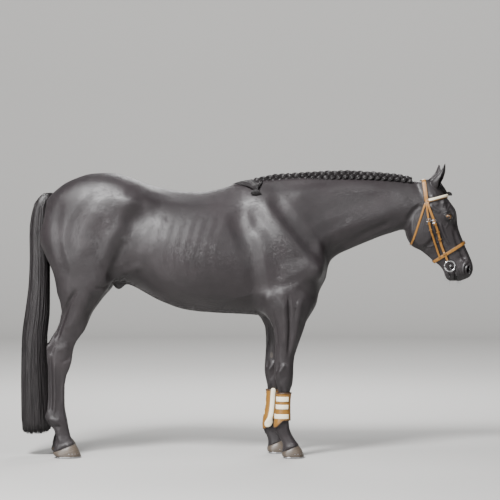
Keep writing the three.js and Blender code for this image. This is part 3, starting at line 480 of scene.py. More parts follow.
def sculptSkin(o):
    p, n = points(o), normalsOf(o)
    head, leg, trunk = regions(p)
    side = ramp(0.12, 0.5, np.abs(n[:, 1]))
    flat = p[:, [0, 2]]
    still = flat.copy()
    far = p[:, 1] > 0
    # the left legs stand further back, so their strokes follow them
    z = p[:, 2]
    foreBack = np.interp(z, [0, 0.105, 0.195, 0.42, 0.90], [0.086, 0.084, 0.0645, 0.061, 0.045])
    hindBack = np.interp(z, [0, 0.10, 0.24, 0.70, 1.10], [0.040, 0.038, 0.0264, 0.024, 0])
    still[:, 0] += far * np.where(p[:, 0] > hindBehind, foreBack * ramp(1.15, 0.90, z), hindBack)
    lift, uv = np.zeros(len(p)), headCoords(p)
    for forms, dabs, share, place in (
        (flankForms, flankDabs, (1 - head) * side, still),
        (ribForms, [], side * trunk, flat),
        (legForms, legDabs, leg * side, still),
        (faceForms, [], head * side, uv),
    ):
        for form in forms:
            lift += share * stroke(place, *form)
        for push in dabs:
            lift += share * dab(place, *push)
    # grooves on the middle plane: breast, jaw, lips and croup
    middle = np.clip(1 - (p[:, 1] / 0.030) ** 2, 0, 1) ** 2
    breast = 0.012 * middle * ramp(0.3, 0.7, n[:, 0]) * ramp(0.90, 0.98, z)
    lift -= breast * ramp(1.20, 1.10, z) * (p[:, 0] > 0.2)
    jaw = 0.012 * middle * head * ramp(0.1, 0.6, -n @ offFace)
    lift -= jaw * ramp(0.30, 0.38, uv[:, 0]) * ramp(0.56, 0.50, uv[:, 0])
    narrow = np.clip(1 - (p[:, 1] / 0.006) ** 2, 0, 1) ** 2
    lift -= 0.003 * narrow * ramp(0.60, 0.64, uv[:, 0]) * (uv[:, 1] > -0.07)
    spine = ramp(0.6, 0.9, n[:, 2]) * trunk
    lift -= 0.004 * middle * spine * ramp(-0.70, -0.80, p[:, 0]) * ramp(-1.20, -1.10, p[:, 0])
    # the foot fills out to the edge of the hoof
    lift += 0.0045 * ramp(0.030, 0.004, aboveCoronet(p)) * (z < feetBelow)
    movePoints(o, p + n * (lift - skinPlan["coat"])[:, None])


def roughen(o):
    # slow, shallow unevenness under the coat
    texture = bpy.data.textures.new("unevenFlesh", "CLOUDS")
    texture.noise_scale = 0.09
    texture.noise_depth = 1
    modify(o, "DISPLACE", texture=texture, texture_coords="LOCAL", strength=0.0026, mid_level=0.5)


def trimFoot(o, name):
    # the skin ends just inside the top of the hoof
    low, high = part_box(name)
    height = points(nodes[name]) @ coronetUp
    p = points(o)
    near = (np.abs(p[:, 1] - (low.y + high.y) / 2) < 0.09) & (np.abs(p[:, 0] - (low.x + high.x) / 2) < 0.14)
    chooseNone(o)
    o.data.vertices.foreach_set("select", near & (p[:, 2] < feetBelow))
    bpy.ops.object.mode_set(mode="EDIT")
    cut = coronetUp * (height.max() - 0.002)
    bpy.ops.mesh.bisect(plane_co=tuple(cut), plane_no=tuple(coronetUp), use_fill=True, clear_inner=True)
    bpy.ops.object.mode_set(mode="OBJECT")


skin = baseSkin()
sculptSkin(skin)
roughen(skin)
smoothed(skin, np.ones(len(skin.data.vertices)), 2)
for name in hoofNodes:
    trimFoot(skin, name)
print("skin sculpted:", len(skin.data.vertices), "points")


# ears, lids and nostrils, cut and joined into the skin
earPlan = {
    "steps": 26, "arc": 19, "foot": 1.618, "tall": 0.158, "turnOut": 0.42, "farBack": 0.022,
    "height": [1.618, 1.645, 1.666, 1.695, 1.722, 1.746, 1.764, 1.776],
    "middle": [1.138, 1.1435, 1.1505, 1.174, 1.1895, 1.196, 1.1990, 1.1998],
    "depth": [0.018, 0.035, 0.042, 0.037, 0.021, 0.0115, 0.0070, 0.0022],
    "width": [0.013, 0.028, 0.034, 0.036, 0.030, 0.0195, 0.0110, 0.0030],
    "spread": [155, 140, 122, 104, 98, 94, 90, 90],
}


def buildEar(sideName):
    plan, side = earPlan, sides[sideName]
    back = plan["farBack"] if sideName == "left" else 0
    turnOut = side * plan["turnOut"]
    rings = []
    for t in np.linspace(0, 1, plan["steps"]):
        z = plan["foot"] + plan["tall"] * t
        columns = (plan[k] for k in ("middle", "depth", "width", "spread"))
        middle, depth, width, spread = (np.interp(z, plan["height"], column) for column in columns)
        angles = np.radians(np.linspace(-spread, spread, plan["arc"]))
        wall = 0.0055 + (0.0016 - 0.0055) * t
        inner = (max(0.0006, depth - wall), max(0.0008, width - wall), angles[::-1])
        ring = []
        for d, w, a in ((depth, width, angles), inner):
            along, across = -d * np.cos(a), w * np.sin(a)
            ring.append(np.column_stack([
                middle - back * ramp(0, 1, t) + along * math.cos(turnOut) - across * math.sin(turnOut),
                side * (0.050 + 0.016 * t) + along * math.sin(turnOut) + across * math.cos(turnOut),
                z - along * 0.1,
            ]))
        rings.append(np.vstack(ring))
    o = ringLoft("ear", rings)
    modify(o, "SUBSURF", levels=1)
    return o


def boolean(o, cutter, operation):
    modify(o, "BOOLEAN", operation=operation, object=cutter, solver="MANIFOLD")
    bpy.data.objects.remove(cutter)


def around(o, centre, reach, core=0.35):
    d = np.linalg.norm(points(o) - centre, axis=1)
    return ramp(reach, reach * core, d)


def eyeFrame(o, sideName):
    # the eyeball's centre and radius, with axes forward, upward and out of the socket
    low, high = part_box("eye_" + sideName)
    centre, radius, side = np.array((low + high) / 2), (high.z - low.z) / 2, sides[sideName]
    p = points(o)
    distance = np.linalg.norm(p - centre - np.array((0, side * radius, 0)), axis=1)
    near = (distance < 0.055) & (distance > 0.018)
    out = unit(normalsOf(o)[near].mean(0))
    forward = unit(np.array((1.0, 0, 0)) - out * out[0])
    return centre, radius, forward, np.cross(forward, out) * side, out


lidPlan = {
    "gap": 0.0022, "swell": 0.0015, "unit": 0.00090,
    "outline": [
        (-25.0, 10.5), (-19, 15.5), (-10, 17.8), (0, 17.6), (9, 16.2), (17, 13.2), (22.5, 8.0), (24, 1.0),
        (21, -7.5), (15.5, -14.5), (10.0, -18.5), (5.5, -17.0), (0, -12.0), (-6.5, -6.0), (-13.5, 0.5),
        (-20, 6.2),
    ],
    "fold": [(-30, 14), (-22, 21), (-10, 25), (2, 25.5), (14, 23.5), (24, 18)],
    "lowFold": [(-22, -4), (-12, -13), (-2, -20), (8, -26)],
}
nostrilPlan = {
    # middle of the opening along the head, off it and its half width, from the lower lobe to the upper slit
    "comma": [
        (0.6245, 0.014, 0.0075), (0.615, 0.0155, 0.0105), (0.604, 0.020, 0.0095), (0.594, 0.028, 0.0065),
        (0.587, 0.037, 0.0035),
    ],
    "inward": [(0, 0.030), (0, 0), (-0.012, -0.018), (-0.035, -0.032)],
}


def openLids(o, sideName):
    centre, radius, forward, upward, out = eyeFrames[sideName]
    p = points(o)
    rel = p - centre
    dist = np.linalg.norm(rel, axis=1)
    facing = (rel / dist[:, None]) @ out
    # the lids swell over the ball
    want = radius + lidPlan["gap"] + lidPlan["swell"]
    over = np.maximum(0, want - dist) * ramp(0.25, 0.55, facing) * (dist < 0.07)
    movePoints(o, p + unit(rel) * over[:, None])
    fair(o, around(o, centre + out * radius, 0.045, 0.5), 3)
    p, n = points(o), normalsOf(o)
    rel = p - centre
    flat = np.column_stack([rel @ forward, rel @ upward])
    here = (rel @ out > 0.3 * radius) & (np.linalg.norm(rel, axis=1) < 0.075)
    rim = np.array(lidPlan["outline"]) * lidPlan["unit"]
    loop = curveThrough(np.vstack([rim, rim[:1]]), 80)
    distance = nearRoute(flat, loop)[0]
    fold = curveThrough(np.array(lidPlan["fold"]) * 0.001, 30)
    lowFold = curveThrough(np.array(lidPlan["lowFold"]) * 0.001, 20)
    lift = 0.0016 * np.clip(1 - (distance / 0.0065) ** 2, 0, 1) ** 2
    lift += stroke(flat, fold, 0.0038, -0.0026, 0.3) + stroke(flat, lowFold, 0.0034, -0.0013, 0.3)
    lift += stroke(flat, fold * 1.17, 0.006, 0.0012, 0.3)
    movePoints(o, p + n * (lift * here)[:, None])
    # cut the opening and round its rim
    rings = []
    for depth in (-0.006, 0.045):
        rings.append(centre + forward * loop[:-1, :1] + upward * loop[:-1, 1:] + out * depth)
    boolean(o, ringLoft("cutter", rings), "DIFFERENCE")
    p = points(o)
    rel = p - centre
    flat = np.column_stack([rel @ forward, rel @ upward])
    distance = nearRoute(flat, loop)[0]
    here = (rel @ out > 0.2 * radius) & (np.linalg.norm(rel, axis=1) < 0.06)
    smoothed(o, ramp(0.0035, 0.001, distance) * here, 4)


def openNostril(o, sideName):
    side = sides[sideName]
    comma = curveThrough([c[:2] for c in nostrilPlan["comma"]], 15)
    half = np.interp(np.linspace(0, 1, 15), np.linspace(0, 1, 5), [c[2] for c in nostrilPlan["comma"]])
    run = runOf(comma)
    across = np.column_stack([-run[:, 1], run[:, 0]])
    cap = np.linspace(math.pi / 2, 3 * math.pi / 2, 9)[1:-1]
    start = comma[0] + half[0] * (np.cos(cap)[:, None] * run[0] + np.sin(cap)[:, None] * across[0])
    upper, lower = comma + across * half[:, None], comma - across * half[:, None]
    outline = np.vstack([upper, lower[::-1], start[::-1]])
    middle = outline.mean(0)
    rings = []
    for (shift, depth), size in zip(nostrilPlan["inward"], (1.12, 1.0, 0.82, 0.45)):
        flat = middle + (outline - middle) * size
        rings.append(np.array([headPoint(u + shift, v, side * (0.052 + depth)) for u, v in flat]))
    boolean(o, ringLoft("cutter", rings), "DIFFERENCE")
    p = points(o)
    uv = headCoords(p)
    distance = nearRoute(uv, np.vstack([outline, outline[:1]]))[0]
    weight = ramp(0.007, 0.002, distance) * (p[:, 1] * side > 0.02) * (uv[:, 0] > 0.5)
    smoothed(o, weight, 5)


def finishSkin(o):
    for sideName in sides:
        centre, radius, forward, upward, out = eyeFrames[sideName]
        subdivideWhere(o, np.linalg.norm(points(o) - centre - out * radius, axis=1) < 0.046)
        nostril = headPoint(0.605, 0.02, sides[sideName] * 0.05)
        subdivideWhere(o, np.linalg.norm(points(o) - nostril, axis=1) < 0.04)
    for sideName in sides:
        boolean(o, buildEar(sideName), "UNION")
        root = np.array((1.145, sides[sideName] * 0.050, 1.650))
        smoothed(o, around(o, root, 0.066, 0.6) * ramp(1.690, 1.664, points(o)[:, 2]), 16)
        openLids(o, sideName)
        openNostril(o, sideName)


eyeFrames = {sideName: eyeFrame(skin, sideName) for sideName in sides}
bareTree = treeOf(skin)
finishSkin(skin)
print("head opened:", len(skin.data.vertices), "points")


# where things lie on the finished skin
def fromEyes(p):
    # how far each point is from the middle of each eye
    return [np.linalg.norm(p - eyeFrames[sideName][0], axis=1) for sideName in sides]


def decimated(o, faces):
    ratio = faces / sum(len(f.vertices) - 2 for f in o.data.polygons)
    if ratio < 1:
        p = points(o)
        head = regions(p)[0]
        close = np.max([ramp(0.09, 0.05, distance) for distance in fromEyes(p)], axis=0)
        keep = np.clip(0.55 * head + close, 0, 1)
        weighted(o, "DECIMATE", 1 - keep, 10, ratio=ratio, vertex_group_factor=1.0)


decimated(skin, skinPlan["faces"])
smoothShade(skin)
skinTree = treeOf(skin)
print("skin thinned:", len(skin.data.polygons), "faces")


def sideHit(x, z, side):
    hit = bareTree.ray_cast(Vector((x, side * 0.6, z)), Vector((0, -side, 0)))
    return np.array(hit[0]) if hit[0] else np.array((x, 0.0, z))


def surfaceAt(p, tree=None):
    spot, normal, index, distance = (tree or skinTree).find_nearest(Vector(p))
    return np.array(spot), np.array(normal)


# long hair: many tapered locks, each a closed body of its own
def lockMesh(name, paths, widths, thickness, taper):
    # paths: (locks, stations, 3); widths: one per lock; every lock is four-sided and narrows at both ends
    paths = np.asarray(paths, float)
    locks, stations = paths.shape[:2]
    run = unit(np.gradient(paths, axis=1))
    start = np.random.default_rng(3).normal(size=(locks, 1, 3))
    side = unit(np.cross(run, unit(start)))
    # the cross direction is carried along each lock, so that it never flips
    for i in range(1, stations):
        previous = side[:, i - 1]
        side[:, i] = unit(previous - run[:, i] * np.sum(previous * run[:, i], axis=1, keepdims=True))
    up = np.cross(run, side)
    t = np.linspace(0, 1, stations)
    profile = np.interp(t, [0, taper[0], 1 - taper[1], 1], [0.35, 1, 1, 0.12])
    size = profile[None, :] * np.asarray(widths)[:, None]
    angles = roundAngles(4)
    ring = (
        side[:, :, None] * np.cos(angles)[None, None, :, None]
        + up[:, :, None] * np.sin(angles)[None, None, :, None] * thickness
    ) * size[:, :, None, None] / 2
    verts = (paths[:, :, None] + ring).reshape(-1, 3)
    block = stations * 4
    faces = np.array(loftFaces(stations, 4))
    o = arrayMesh(name, verts, (faces[None] + (np.arange(locks) * block)[:, None, None]).reshape(-1, 4))
    patchMap(o, paths[:, 0], block)
    smoothShade(o)
    return o


def buildUnwrap(o):
    # a light copy of the skin, unwrapped, that tells each tuft and lock its place on the map
    copy = twin(o)
    modify(copy, "DECIMATE", ratio=0.12)
    editAll(copy, (bpy.ops.uv.smart_project, {"angle_limit": math.radians(66), "island_margin": 0.004}))
    mesh = copy.data
    mesh.calc_loop_triangles()
    corner = cornersOf(mesh)
    uv = readAll(mesh.uv_layers.active.data, "uv", np.float32, 2)
    triangles = readAll(mesh.loop_triangles, "loops", np.int32, 3)
    verts = points(copy)
    tree = BVHTree.FromPolygons([Vector(v) for v in verts], corner[triangles].tolist())
    bpy.data.objects.remove(copy)
    return {"tree": tree, "uv": uv[triangles], "corners": verts[corner[triangles]]}


unwrap = buildUnwrap(skin)
print("skin unwrapped")


def placeOnMap(roots):
    # each root's place on the map, from its shares of the three corners of the nearest face
    found = [unwrap["tree"].find_nearest(Vector(r)) for r in roots]
    spots = np.array([f[0] for f in found])
    faces = np.array([f[2] for f in found])
    a, b, c = (unwrap["corners"][faces][:, k] for k in range(3))
    ab, ac, ap = b - a, c - a, spots - a
    d00, d01, d11 = np.sum(ab * ab, 1), np.sum(ab * ac, 1), np.sum(ac * ac, 1)
    d20, d21 = np.sum(ap * ab, 1), np.sum(ap * ac, 1)
    scale = np.maximum(d00 * d11 - d01 * d01, 1e-18)
    v, w = (d11 * d20 - d01 * d21) / scale, (d00 * d21 - d01 * d20) / scale
    share = np.clip(np.column_stack([1 - v - w, v, w]), 0, 1)
    share /= share.sum(1, keepdims=True)
    return np.sum(unwrap["uv"][faces] * share[:, :, None], axis=1)


def patchMap(o, roots, vertsEach):
    # every tuft or lock gets a small square of the map at its root's place
    centre = np.clip(placeOnMap(roots), 0.002, 0.998)
    owner, local = np.divmod(cornersOf(o.data), vertsEach)
    t = local / max(1, vertsEach - 1)
    spread = np.column_stack([t - 0.5, (local % 3) / 2 - 0.5]) * 0.003
    addMap(o, "OFBake", centre[owner] + spread)


# tail
tailPlan = {
    "locks": 1000, "stations": 24,
    # the middle of the tail as (x, z), with its half depth and half width there
    "spine": [
        (-1.168, 1.588, 0.010, 0.014), (-1.203, 1.586, 0.020, 0.026), (-1.236, 1.566, 0.030, 0.034),
        (-1.254, 1.528, 0.042, 0.041), (-1.260, 1.480, 0.052, 0.046), (-1.2645, 1.38, 0.0625, 0.053),
        (-1.266, 1.19, 0.0600, 0.060), (-1.270, 1.02, 0.0640, 0.067), (-1.2815, 0.86, 0.0735, 0.071),
        (-1.297, 0.72, 0.0750, 0.075), (-1.2965, 0.48, 0.0825, 0.078), (-1.2875, 0.23, 0.0900, 0.076),
        (-1.2835, 0.134, 0.0925, 0.072),
    ],
}


def buildTail():
    plan, rng = tailPlan, np.random.default_rng(11)
    spine = curveThrough(plan["spine"], 240)
    count, stations = plan["locks"], plan["stations"]
    angle = rng.uniform(0, 2 * math.pi, count)
    outer = int(count * 0.68)
    radius = np.sqrt(rng.uniform(0.25, 1.0, count))
    radius[:outer] = rng.uniform(0.92, 1.0, outer)
    begin = rng.uniform(0, 0.14, count) * (radius < 0.9) + rng.uniform(0, 0.03, count)
    # the hair is cut square below, with rounded corners
    corner = np.abs(radius * np.cos(angle)) ** 5
    end = rng.uniform(0.990, 1.0, count) - 0.022 * corner
    end[rng.random(count) < 0.06] -= rng.uniform(0.03, 0.22)
    t = np.linspace(0, 1, stations)[None, :]
    at = begin[:, None] + (end - begin)[:, None] * t
    wave = rng.uniform(0.8, 2.6, count)[:, None]
    swing = rng.normal(0, 0.13, count)[:, None]
    turn = angle[:, None] + swing * np.sin(math.pi * at * wave + rng.uniform(0, 6, count)[:, None])
    uneven = rng.normal(0, 0.010, count)[:, None] * np.sin(9 * at + angle[:, None])
    r = np.clip(radius[:, None] * (1 + uneven), 0, 1)
    along = np.linspace(0, 1, len(spine))
    x, z, deep, wide = (np.interp(at, along, spine[:, k]) for k in range(4))
    run = runOf(spine[:, :2])
    runX, runZ = (np.interp(at, along, run[:, k]) for k in range(2))
    off = (deep - 0.004) * r * np.cos(turn)
    y = (wide - 0.004) * r * np.sin(turn)
    paths = np.stack([x + runZ * off, y, z - runX * off], axis=2)
    return lockMesh("tail", paths, rng.uniform(0.0095, 0.0165, count), 0.45, (0.05, 0.02))


def buildDock():
    # the root of the tail under its hair
    spine = curveThrough([s for s in tailPlan["spine"] if s[1] > 1.10], 16)
    run = runOf(spine[:, :2])
    rings = []
    for (x, z, deep, wide), (dx, dz), size in zip(spine, run, np.linspace(0.60, 0.35, 16)):
        a = roundAngles(24)
        off = np.cos(a) * deep * size
        rings.append(np.column_stack([x + dz * off, wide * size * np.sin(a), z - dx * off]))
    return smoothLoft("dock", rings)


# braid along the crest
braidPlan = {
    "from": 0.047, "to": 1.000, "lobes": 24, "strands": 3, "locks": 13, "stations": 300,
    "topX": [0.04, 0.17, 0.325, 0.47, 0.618, 0.764, 0.91, 1.0],
    "topZ": [1.689, 1.7145, 1.7245, 1.7335, 1.7365, 1.728, 1.7145, 1.697],
    "heightX": [0.04, 0.15, 0.5, 0.8, 1.0], "heightZ": [0.056, 0.062, 0.058, 0.049, 0.038],
}


def buildBraid():
    plan, rng = braidPlan, np.random.default_rng(5)
    t = np.linspace(0, 1, plan["stations"])
    x = plan["from"] + (plan["to"] - plan["from"]) * t
    top = np.interp(x, plan["topX"], plan["topZ"])
    tall = np.interp(x, plan["heightX"], plan["heightZ"])
    up, out = np.array((0, 0.30, 0.954)), np.array((0, -0.954, 0.30))
    cycle = 2 * math.pi * plan["lobes"] / 3 * t
    paths, widths = [], []
    for s in range(plan["strands"]):
        phase = cycle + s * 2 * math.pi / 3
        across = np.cos(phase) * tall * 0.315
        # each strand rises over the middle as it crosses from either edge
        over = np.sin(2 * phase) * 0.0105
        centre = np.column_stack([x, np.full_like(x, -0.027), top - tall * 0.52])
        core = centre + up * across[:, None] + out * over[:, None]
        run = runOf(core)
        side = unit(np.cross(run, out))
        lift = np.cross(side, run)
        half, thick = tall * 0.215, 0.0085
        for k in range(plan["locks"]):
            angle = 2 * math.pi * k / plan["locks"]
            twist = angle + 0.35 * np.sin(phase * 0.5 + k) + rng.normal(0, 0.05)
            along, off = half * np.cos(twist) * 0.92, thick * np.sin(twist) * 0.92
            paths.append(core + side * along[:, None] + lift * off[:, None])
            widths.append(rng.uniform(0.0065, 0.0085))
        for k in range(4):
            angle = k * math.pi / 2 + 0.4
            along, off = half * 0.42 * math.cos(angle), thick * 0.35 * math.sin(angle)
            paths.append(core + side * along[:, None] + lift * off)
            widths.append(0.011)
    return lockMesh("braid", np.array(paths), widths, 0.75, (0.004, 0.004))


# loose hair at the withers, gathered into a knot, and the forelock
def bundle(rng, spine, spread, count, stations):
    # hairs that follow a spine of points within a changing half width and half depth
    spine = curveThrough(spine, stations)
    run = runOf(spine)
    side = unit(np.cross(run, np.array((0.02, 1.0, 0.05))))
    lift = np.cross(side, run)
    spread = np.array(spread, float)
    at = np.linspace(0, 1, stations)
    wide, deep = (np.interp(at, np.linspace(0, 1, len(spread)), spread[:, k]) for k in (0, 1))
    paths = []
    for k in range(count):
        a = 2 * math.pi * k / count + rng.normal(0, 0.12)
        a = a + rng.normal(0, 0.25) * np.sin(at * 3 + rng.uniform(0, 6))
        r = 1.0 if k % 4 else 0.5
        along, off = wide * r * np.cos(a), deep * r * np.sin(a)
        paths.append(spine + side * along[:, None] + lift * off[:, None])
    return paths


withersPlan = {
    "strands": [
        [(-0.096, -0.004, 1.6675), (-0.050, -0.047, 1.668), (0.000, -0.082, 1.650), (0.046, -0.121, 1.618)],
        [(-0.075, 0.000, 1.671), (-0.030, -0.040, 1.674), (0.015, -0.078, 1.655), (0.048, -0.118, 1.622)],
        [(-0.050, 0.000, 1.676), (-0.010, -0.036, 1.680), (0.028, -0.074, 1.660), (0.052, -0.114, 1.625)],
        [(-0.020, 0.000, 1.682), (0.012, -0.034, 1.686), (0.042, -0.072, 1.664), (0.058, -0.112, 1.627)],
        [(0.015, 0.000, 1.688), (0.036, -0.034, 1.690), (0.056, -0.072, 1.666), (0.063, -0.110, 1.628)],
        [(0.090, -0.020, 1.692), (0.085, -0.052, 1.684), (0.076, -0.082, 1.660), (0.066, -0.110, 1.630)],
    ],
    "hairs": 15, "spread": [(0.0065, 0.0028), (0.0095, 0.0036), (0.0078, 0.0038), (0.0040, 0.0040)],
    "knot": (0.053, -0.124, 1.610), "tie": (0.060, -0.118, 1.626),
    "loops": 6,
    "loopSpread": [(0.003, 0.003), (0.0050, 0.0035), (0.0055, 0.0035), (0.0045, 0.003), (0.002, 0.002)],
}


def buildWithersLock():
    plan, rng, paths, widths = withersPlan, np.random.default_rng(8), [], []
    for spine in plan["strands"]:
        new = bundle(rng, spine, plan["spread"], plan["hairs"], 26)
        paths += new
        widths += list(rng.uniform(0.0026, 0.0042, len(new)))
    # the end of the gathered hair, turned under in short loops that hang below the tie
    kx, ky, kz = plan["knot"]
    for loop in range(plan["loops"]):
        lean = (loop - 2.5) * 0.0062
        drop = 0.030 - 0.004 * abs(loop - 2.5)
        spine = [
            (0.060, -0.117, 1.627),
            (kx + lean * 0.7, ky - 0.009, kz + 0.004),
            (kx + lean * 1.5, ky - 0.013, kz - drop * 0.55),
            (kx + lean * 1.7 - 0.003, ky - 0.009, kz - drop),
            (kx + lean * 1.2 - 0.004, ky - 0.003, kz - drop * 0.6),
        ]
        new = bundle(rng, spine, plan["loopSpread"], 9, 26)
        paths += new
        widths += list(rng.uniform(0.0026, 0.0036, len(new)))
    clear = []
    for k, path in enumerate(paths):
        # the gathered strands lie on the coat where they start, and rise off it towards the tie
        strand = k < len(plan["strands"]) * plan["hairs"]
        laid = []
        for t, q in zip(np.linspace(0, 1, len(path)), path):
            spot, normal = surfaceAt(q)
            above = (q - spot) @ normal
            most = 0.0045 + 0.030 * max(0.0, t - 0.35) if strand else 1.0
            laid.append(q + normal * (min(max(above, 0.003), most) - above))
        clear.append(np.array(laid))
    return lockMesh("withersLock", np.array(clear), widths, 0.7, (0.06, 0.12))


def onForehead(u, lift):
    # a place on the middle line of the face, u down from the poll and a little off the skin
    start = headPoint(u, 0.25)
    hit = bareTree.ray_cast(Vector(start), Vector(-offFace))
    return np.array(hit[0]) + offFace * lift


forelockPlan = {
    # (down the face from the poll, off the skin) for the part that lies on the forehead
    "lying": [(0.020, 0.006), (0.045, 0.013), (0.080, 0.012), (0.110, 0.010), (0.132, 0.013)],
    "lyingSpread": [(0.010, 0.006), (0.019, 0.010), (0.018, 0.010), (0.015, 0.009), (0.008, 0.007)],
    # (off the face, down the face) from the tie, for the loose end
    "loose": [(0, 0), (0.011, 0.004), (0.021, 0.011), (0.027, 0.022)],
    "looseSpread": [(0.0070, 0.0060), (0.0105, 0.0085), (0.0085, 0.0065), (0.0020, 0.0020)],
}


def buildForelock():
    # it leaves the poll between the ears, lies on the forehead and ends in a tuft over the browband
    plan, rng = forelockPlan, np.random.default_rng(9)
    paths = bundle(rng, [onForehead(*stop) for stop in plan["lying"]], plan["lyingSpread"], 64, 30)
    widths = list(rng.uniform(0.0034, 0.0050, len(paths)))
    tie = onForehead(*plan["lying"][-1])
    stops = [tie + offFace * off + downFace * down for off, down in plan["loose"]]
    loose = bundle(rng, stops, plan["looseSpread"], 70, 30)
    widths += list(rng.uniform(0.0030, 0.0044, len(loose)))
    return lockMesh("forelock", np.array(paths + loose), widths, 0.7, (0.06, 0.12))


def band(name, centre, axis, radii, width, thickness):
    # a wound tie round hair: an oval hoop with an oval section
    axis = unit(np.array(axis, float))
    side = unit(np.cross(axis, (0.3, 0.2, 0.9)))
    up = np.cross(axis, side)
    rings = []
    b = roundAngles(10)[:, None]
    for a in roundAngles(28):
        radial = side * math.cos(a) * radii[0] + up * math.sin(a) * radii[1]
        outwards = unit(side * math.cos(a) + up * math.sin(a))
        section = outwards * np.sin(b) * thickness / 2 + axis * np.cos(b) * width / 2
        rings.append(np.array(centre) + radial + section)
    return smoothLoft(name, rings, hoop=True)


tail, braid = buildTail(), buildBraid()
tailDock = buildDock()
withersLock, forelock = buildWithersLock(), buildForelock()
ties = joined("ties", [
    band("tie", withersPlan["tie"], (0.35, -0.65, -0.67), (0.0085, 0.0085), 0.007, 0.004),
    band("tie", onForehead(0.131, 0.013), downFace, (0.0095, 0.0085), 0.006, 0.004),
])
print("long hair made")


def paintHair():
    material, shader, place = newMaterial("hair", Roughness=0.40, Specular_IOR_Level=0.40)
    hanging = place.noise(1.0, (130, 130, 7), 3.0)
    braided = place.noise(1.0, (30, 160, 160), 2.0)
    share = hanging.between(0.30, 0.70) * 0.75 + braided.between(0.4, 0.7) * 0.25
    feed(shader, "Base Color", share.choose(color(0.0070, 0.0059, 0.0063), color(0.0200, 0.0172, 0.0180)))
    emboss(shader, place.noise(1.0, (900, 900, 40), 2.0), 0.0008, 0.6)
    return material


# paint: shader values that add and multiply like numbers
class Wire:
    def __init__(self, tree, socket):
        self.tree, self.socket = tree, socket

    def node(self, kind, settings, inputs):
        node = self.tree.nodes.new("ShaderNode" + kind)
        for key, value in settings.items():
            setattr(node, key, value)
        for key, value in inputs.items():
            if isinstance(value, Wire):
                self.tree.links.new(value.socket, node.inputs[key])
            else:
                node.inputs[key].default_value = value
        return node

    def math(self, operation, other=0.0):
        node = self.node("Math", {"operation": operation}, {0: self, 1: other})
        return Wire(self.tree, node.outputs[0])

    def vector(self, operation, other, output=0):
        node = self.node("VectorMath", {"operation": operation}, {0: self, 1: other})
        return Wire(self.tree, node.outputs[output])

    def __add__(self, other):
        return self.math("ADD", other)

    def __sub__(self, other):
        return self.math("SUBTRACT", other)

    def __mul__(self, other):
        return self.math("MULTIPLY", other)

    def __rsub__(self, other):
        node = self.node("Math", {"operation": "SUBTRACT"}, {0: other, 1: self})
        return Wire(self.tree, node.outputs[0])

    __radd__ = __add__
    __rmul__ = __mul__

    def between(self, low, high):
        # 0 below low, 1 above high, with a soft step between
        node = self.node(
            "MapRange",
            {"interpolation_type": "SMOOTHSTEP"},
            {"Value": self, "From Min": low, "From Max": high},
        )
        return Wire(self.tree, node.outputs["Result"])

    def choose(self, first, second):
        # blends two colours, with this value as the share of the second
        node = self.node("Mix", {"data_type": "RGBA"}, {0: self, 6: first, 7: second})
        return Wire(self.tree, node.outputs[2])

    def part(self, axis):
        node = self.node("SeparateXYZ", {}, {"Vector": self})
        return Wire(self.tree, node.outputs[axis])

    def noise(self, scale, stretch=(1, 1, 1), detail=2.0):
        place = self.vector("MULTIPLY", stretch) if stretch != (1, 1, 1) else self
        inputs = {"Vector": place, "Scale": scale, "Detail": detail, "Roughness": 0.6}
        return Wire(self.tree, self.node("TexNoise", {}, inputs).outputs["Fac"])


def color(r, g, b):
    return (r, g, b, 1.0)


def newMaterial(name, **constants):
    material = bpy.data.materials.new(name)
    material.use_nodes = True
    tree = material.node_tree
    shader = tree.nodes["Principled BSDF"]
    for key, value in constants.items():
        shader.inputs[key.replace("_", " ")].default_value = value
    coordinates = tree.nodes.new("ShaderNodeTexCoord")
    coordinates.name = "coordinates"
    return material, shader, Wire(tree, coordinates.outputs["Object"])


def ownMap(place):
    # the place on the piece's own map
    return Wire(place.tree, place.tree.nodes["coordinates"].outputs["UV"])


def feed(shader, socket, wire):
    wire.tree.links.new(wire.socket, shader.inputs[socket])


def emboss(shader, height, distance, strength):
    bump = height.node("Bump", {}, {"Height": height, "Distance": distance, "Strength": strength})
    height.tree.links.new(bump.outputs["Normal"], shader.inputs["Normal"])


def mirrored(place):
    # the place with its distance from the middle plane always positive, so both sides match
    node = place.node("VectorMath", {"operation": "ABSOLUTE"}, {0: place})
    across = Wire(place.tree, node.outputs[0]).part(1)
    joint = place.node("CombineXYZ", {}, {"X": place.part(0), "Y": across, "Z": place.part(2)})
    return Wire(place.tree, joint.outputs[0])


def nearSpot(place, centre, reach, core=0.4):
    distance = place.vector("DISTANCE", centre, "Value")
    return distance.between(reach, reach * core)


def grained(name, tint, rough, metallic=0.0, scale=(420, 420, 420), depth=0.0004, vary=0.18):
    # one colour with a fine grain, and broad places that are darker and duller
    material, shader, place = newMaterial(name, Metallic=metallic)
    grain = place.noise(1.0, scale, 3.0)
    worn = place.noise(24.0, detail=3.0).between(0.34, 0.66)
    dull = tuple(c * (1 - vary) for c in tint)
    feed(shader, "Base Color", (worn * 0.7 + grain * 0.3).choose(color(*dull), color(*tint)))
    feed(shader, "Roughness", grain * 0.16 + worn * -0.06 + rough)
    emboss(shader, grain, depth, 0.5)
    return material


# coat colours, shared by the skin and its tufts
eyeCentre, eyeRadius, eyeForward, eyeUpward, eyeOut = eyeFrames["left"]
coatPaint = {
    "eye": tuple(eyeCentre + eyeOut * eyeRadius),
    "chestnuts": [((0.148, 0.093, 0.333), 0.013), ((0.205, -0.093, 0.333), 0.013)],
    "dark": (0.0090, 0.0070, 0.0078), "light": (0.0225, 0.0177, 0.0194), "bare": (0.0070, 0.0060, 0.0064),
    "horn": (0.052, 0.043, 0.038),
}


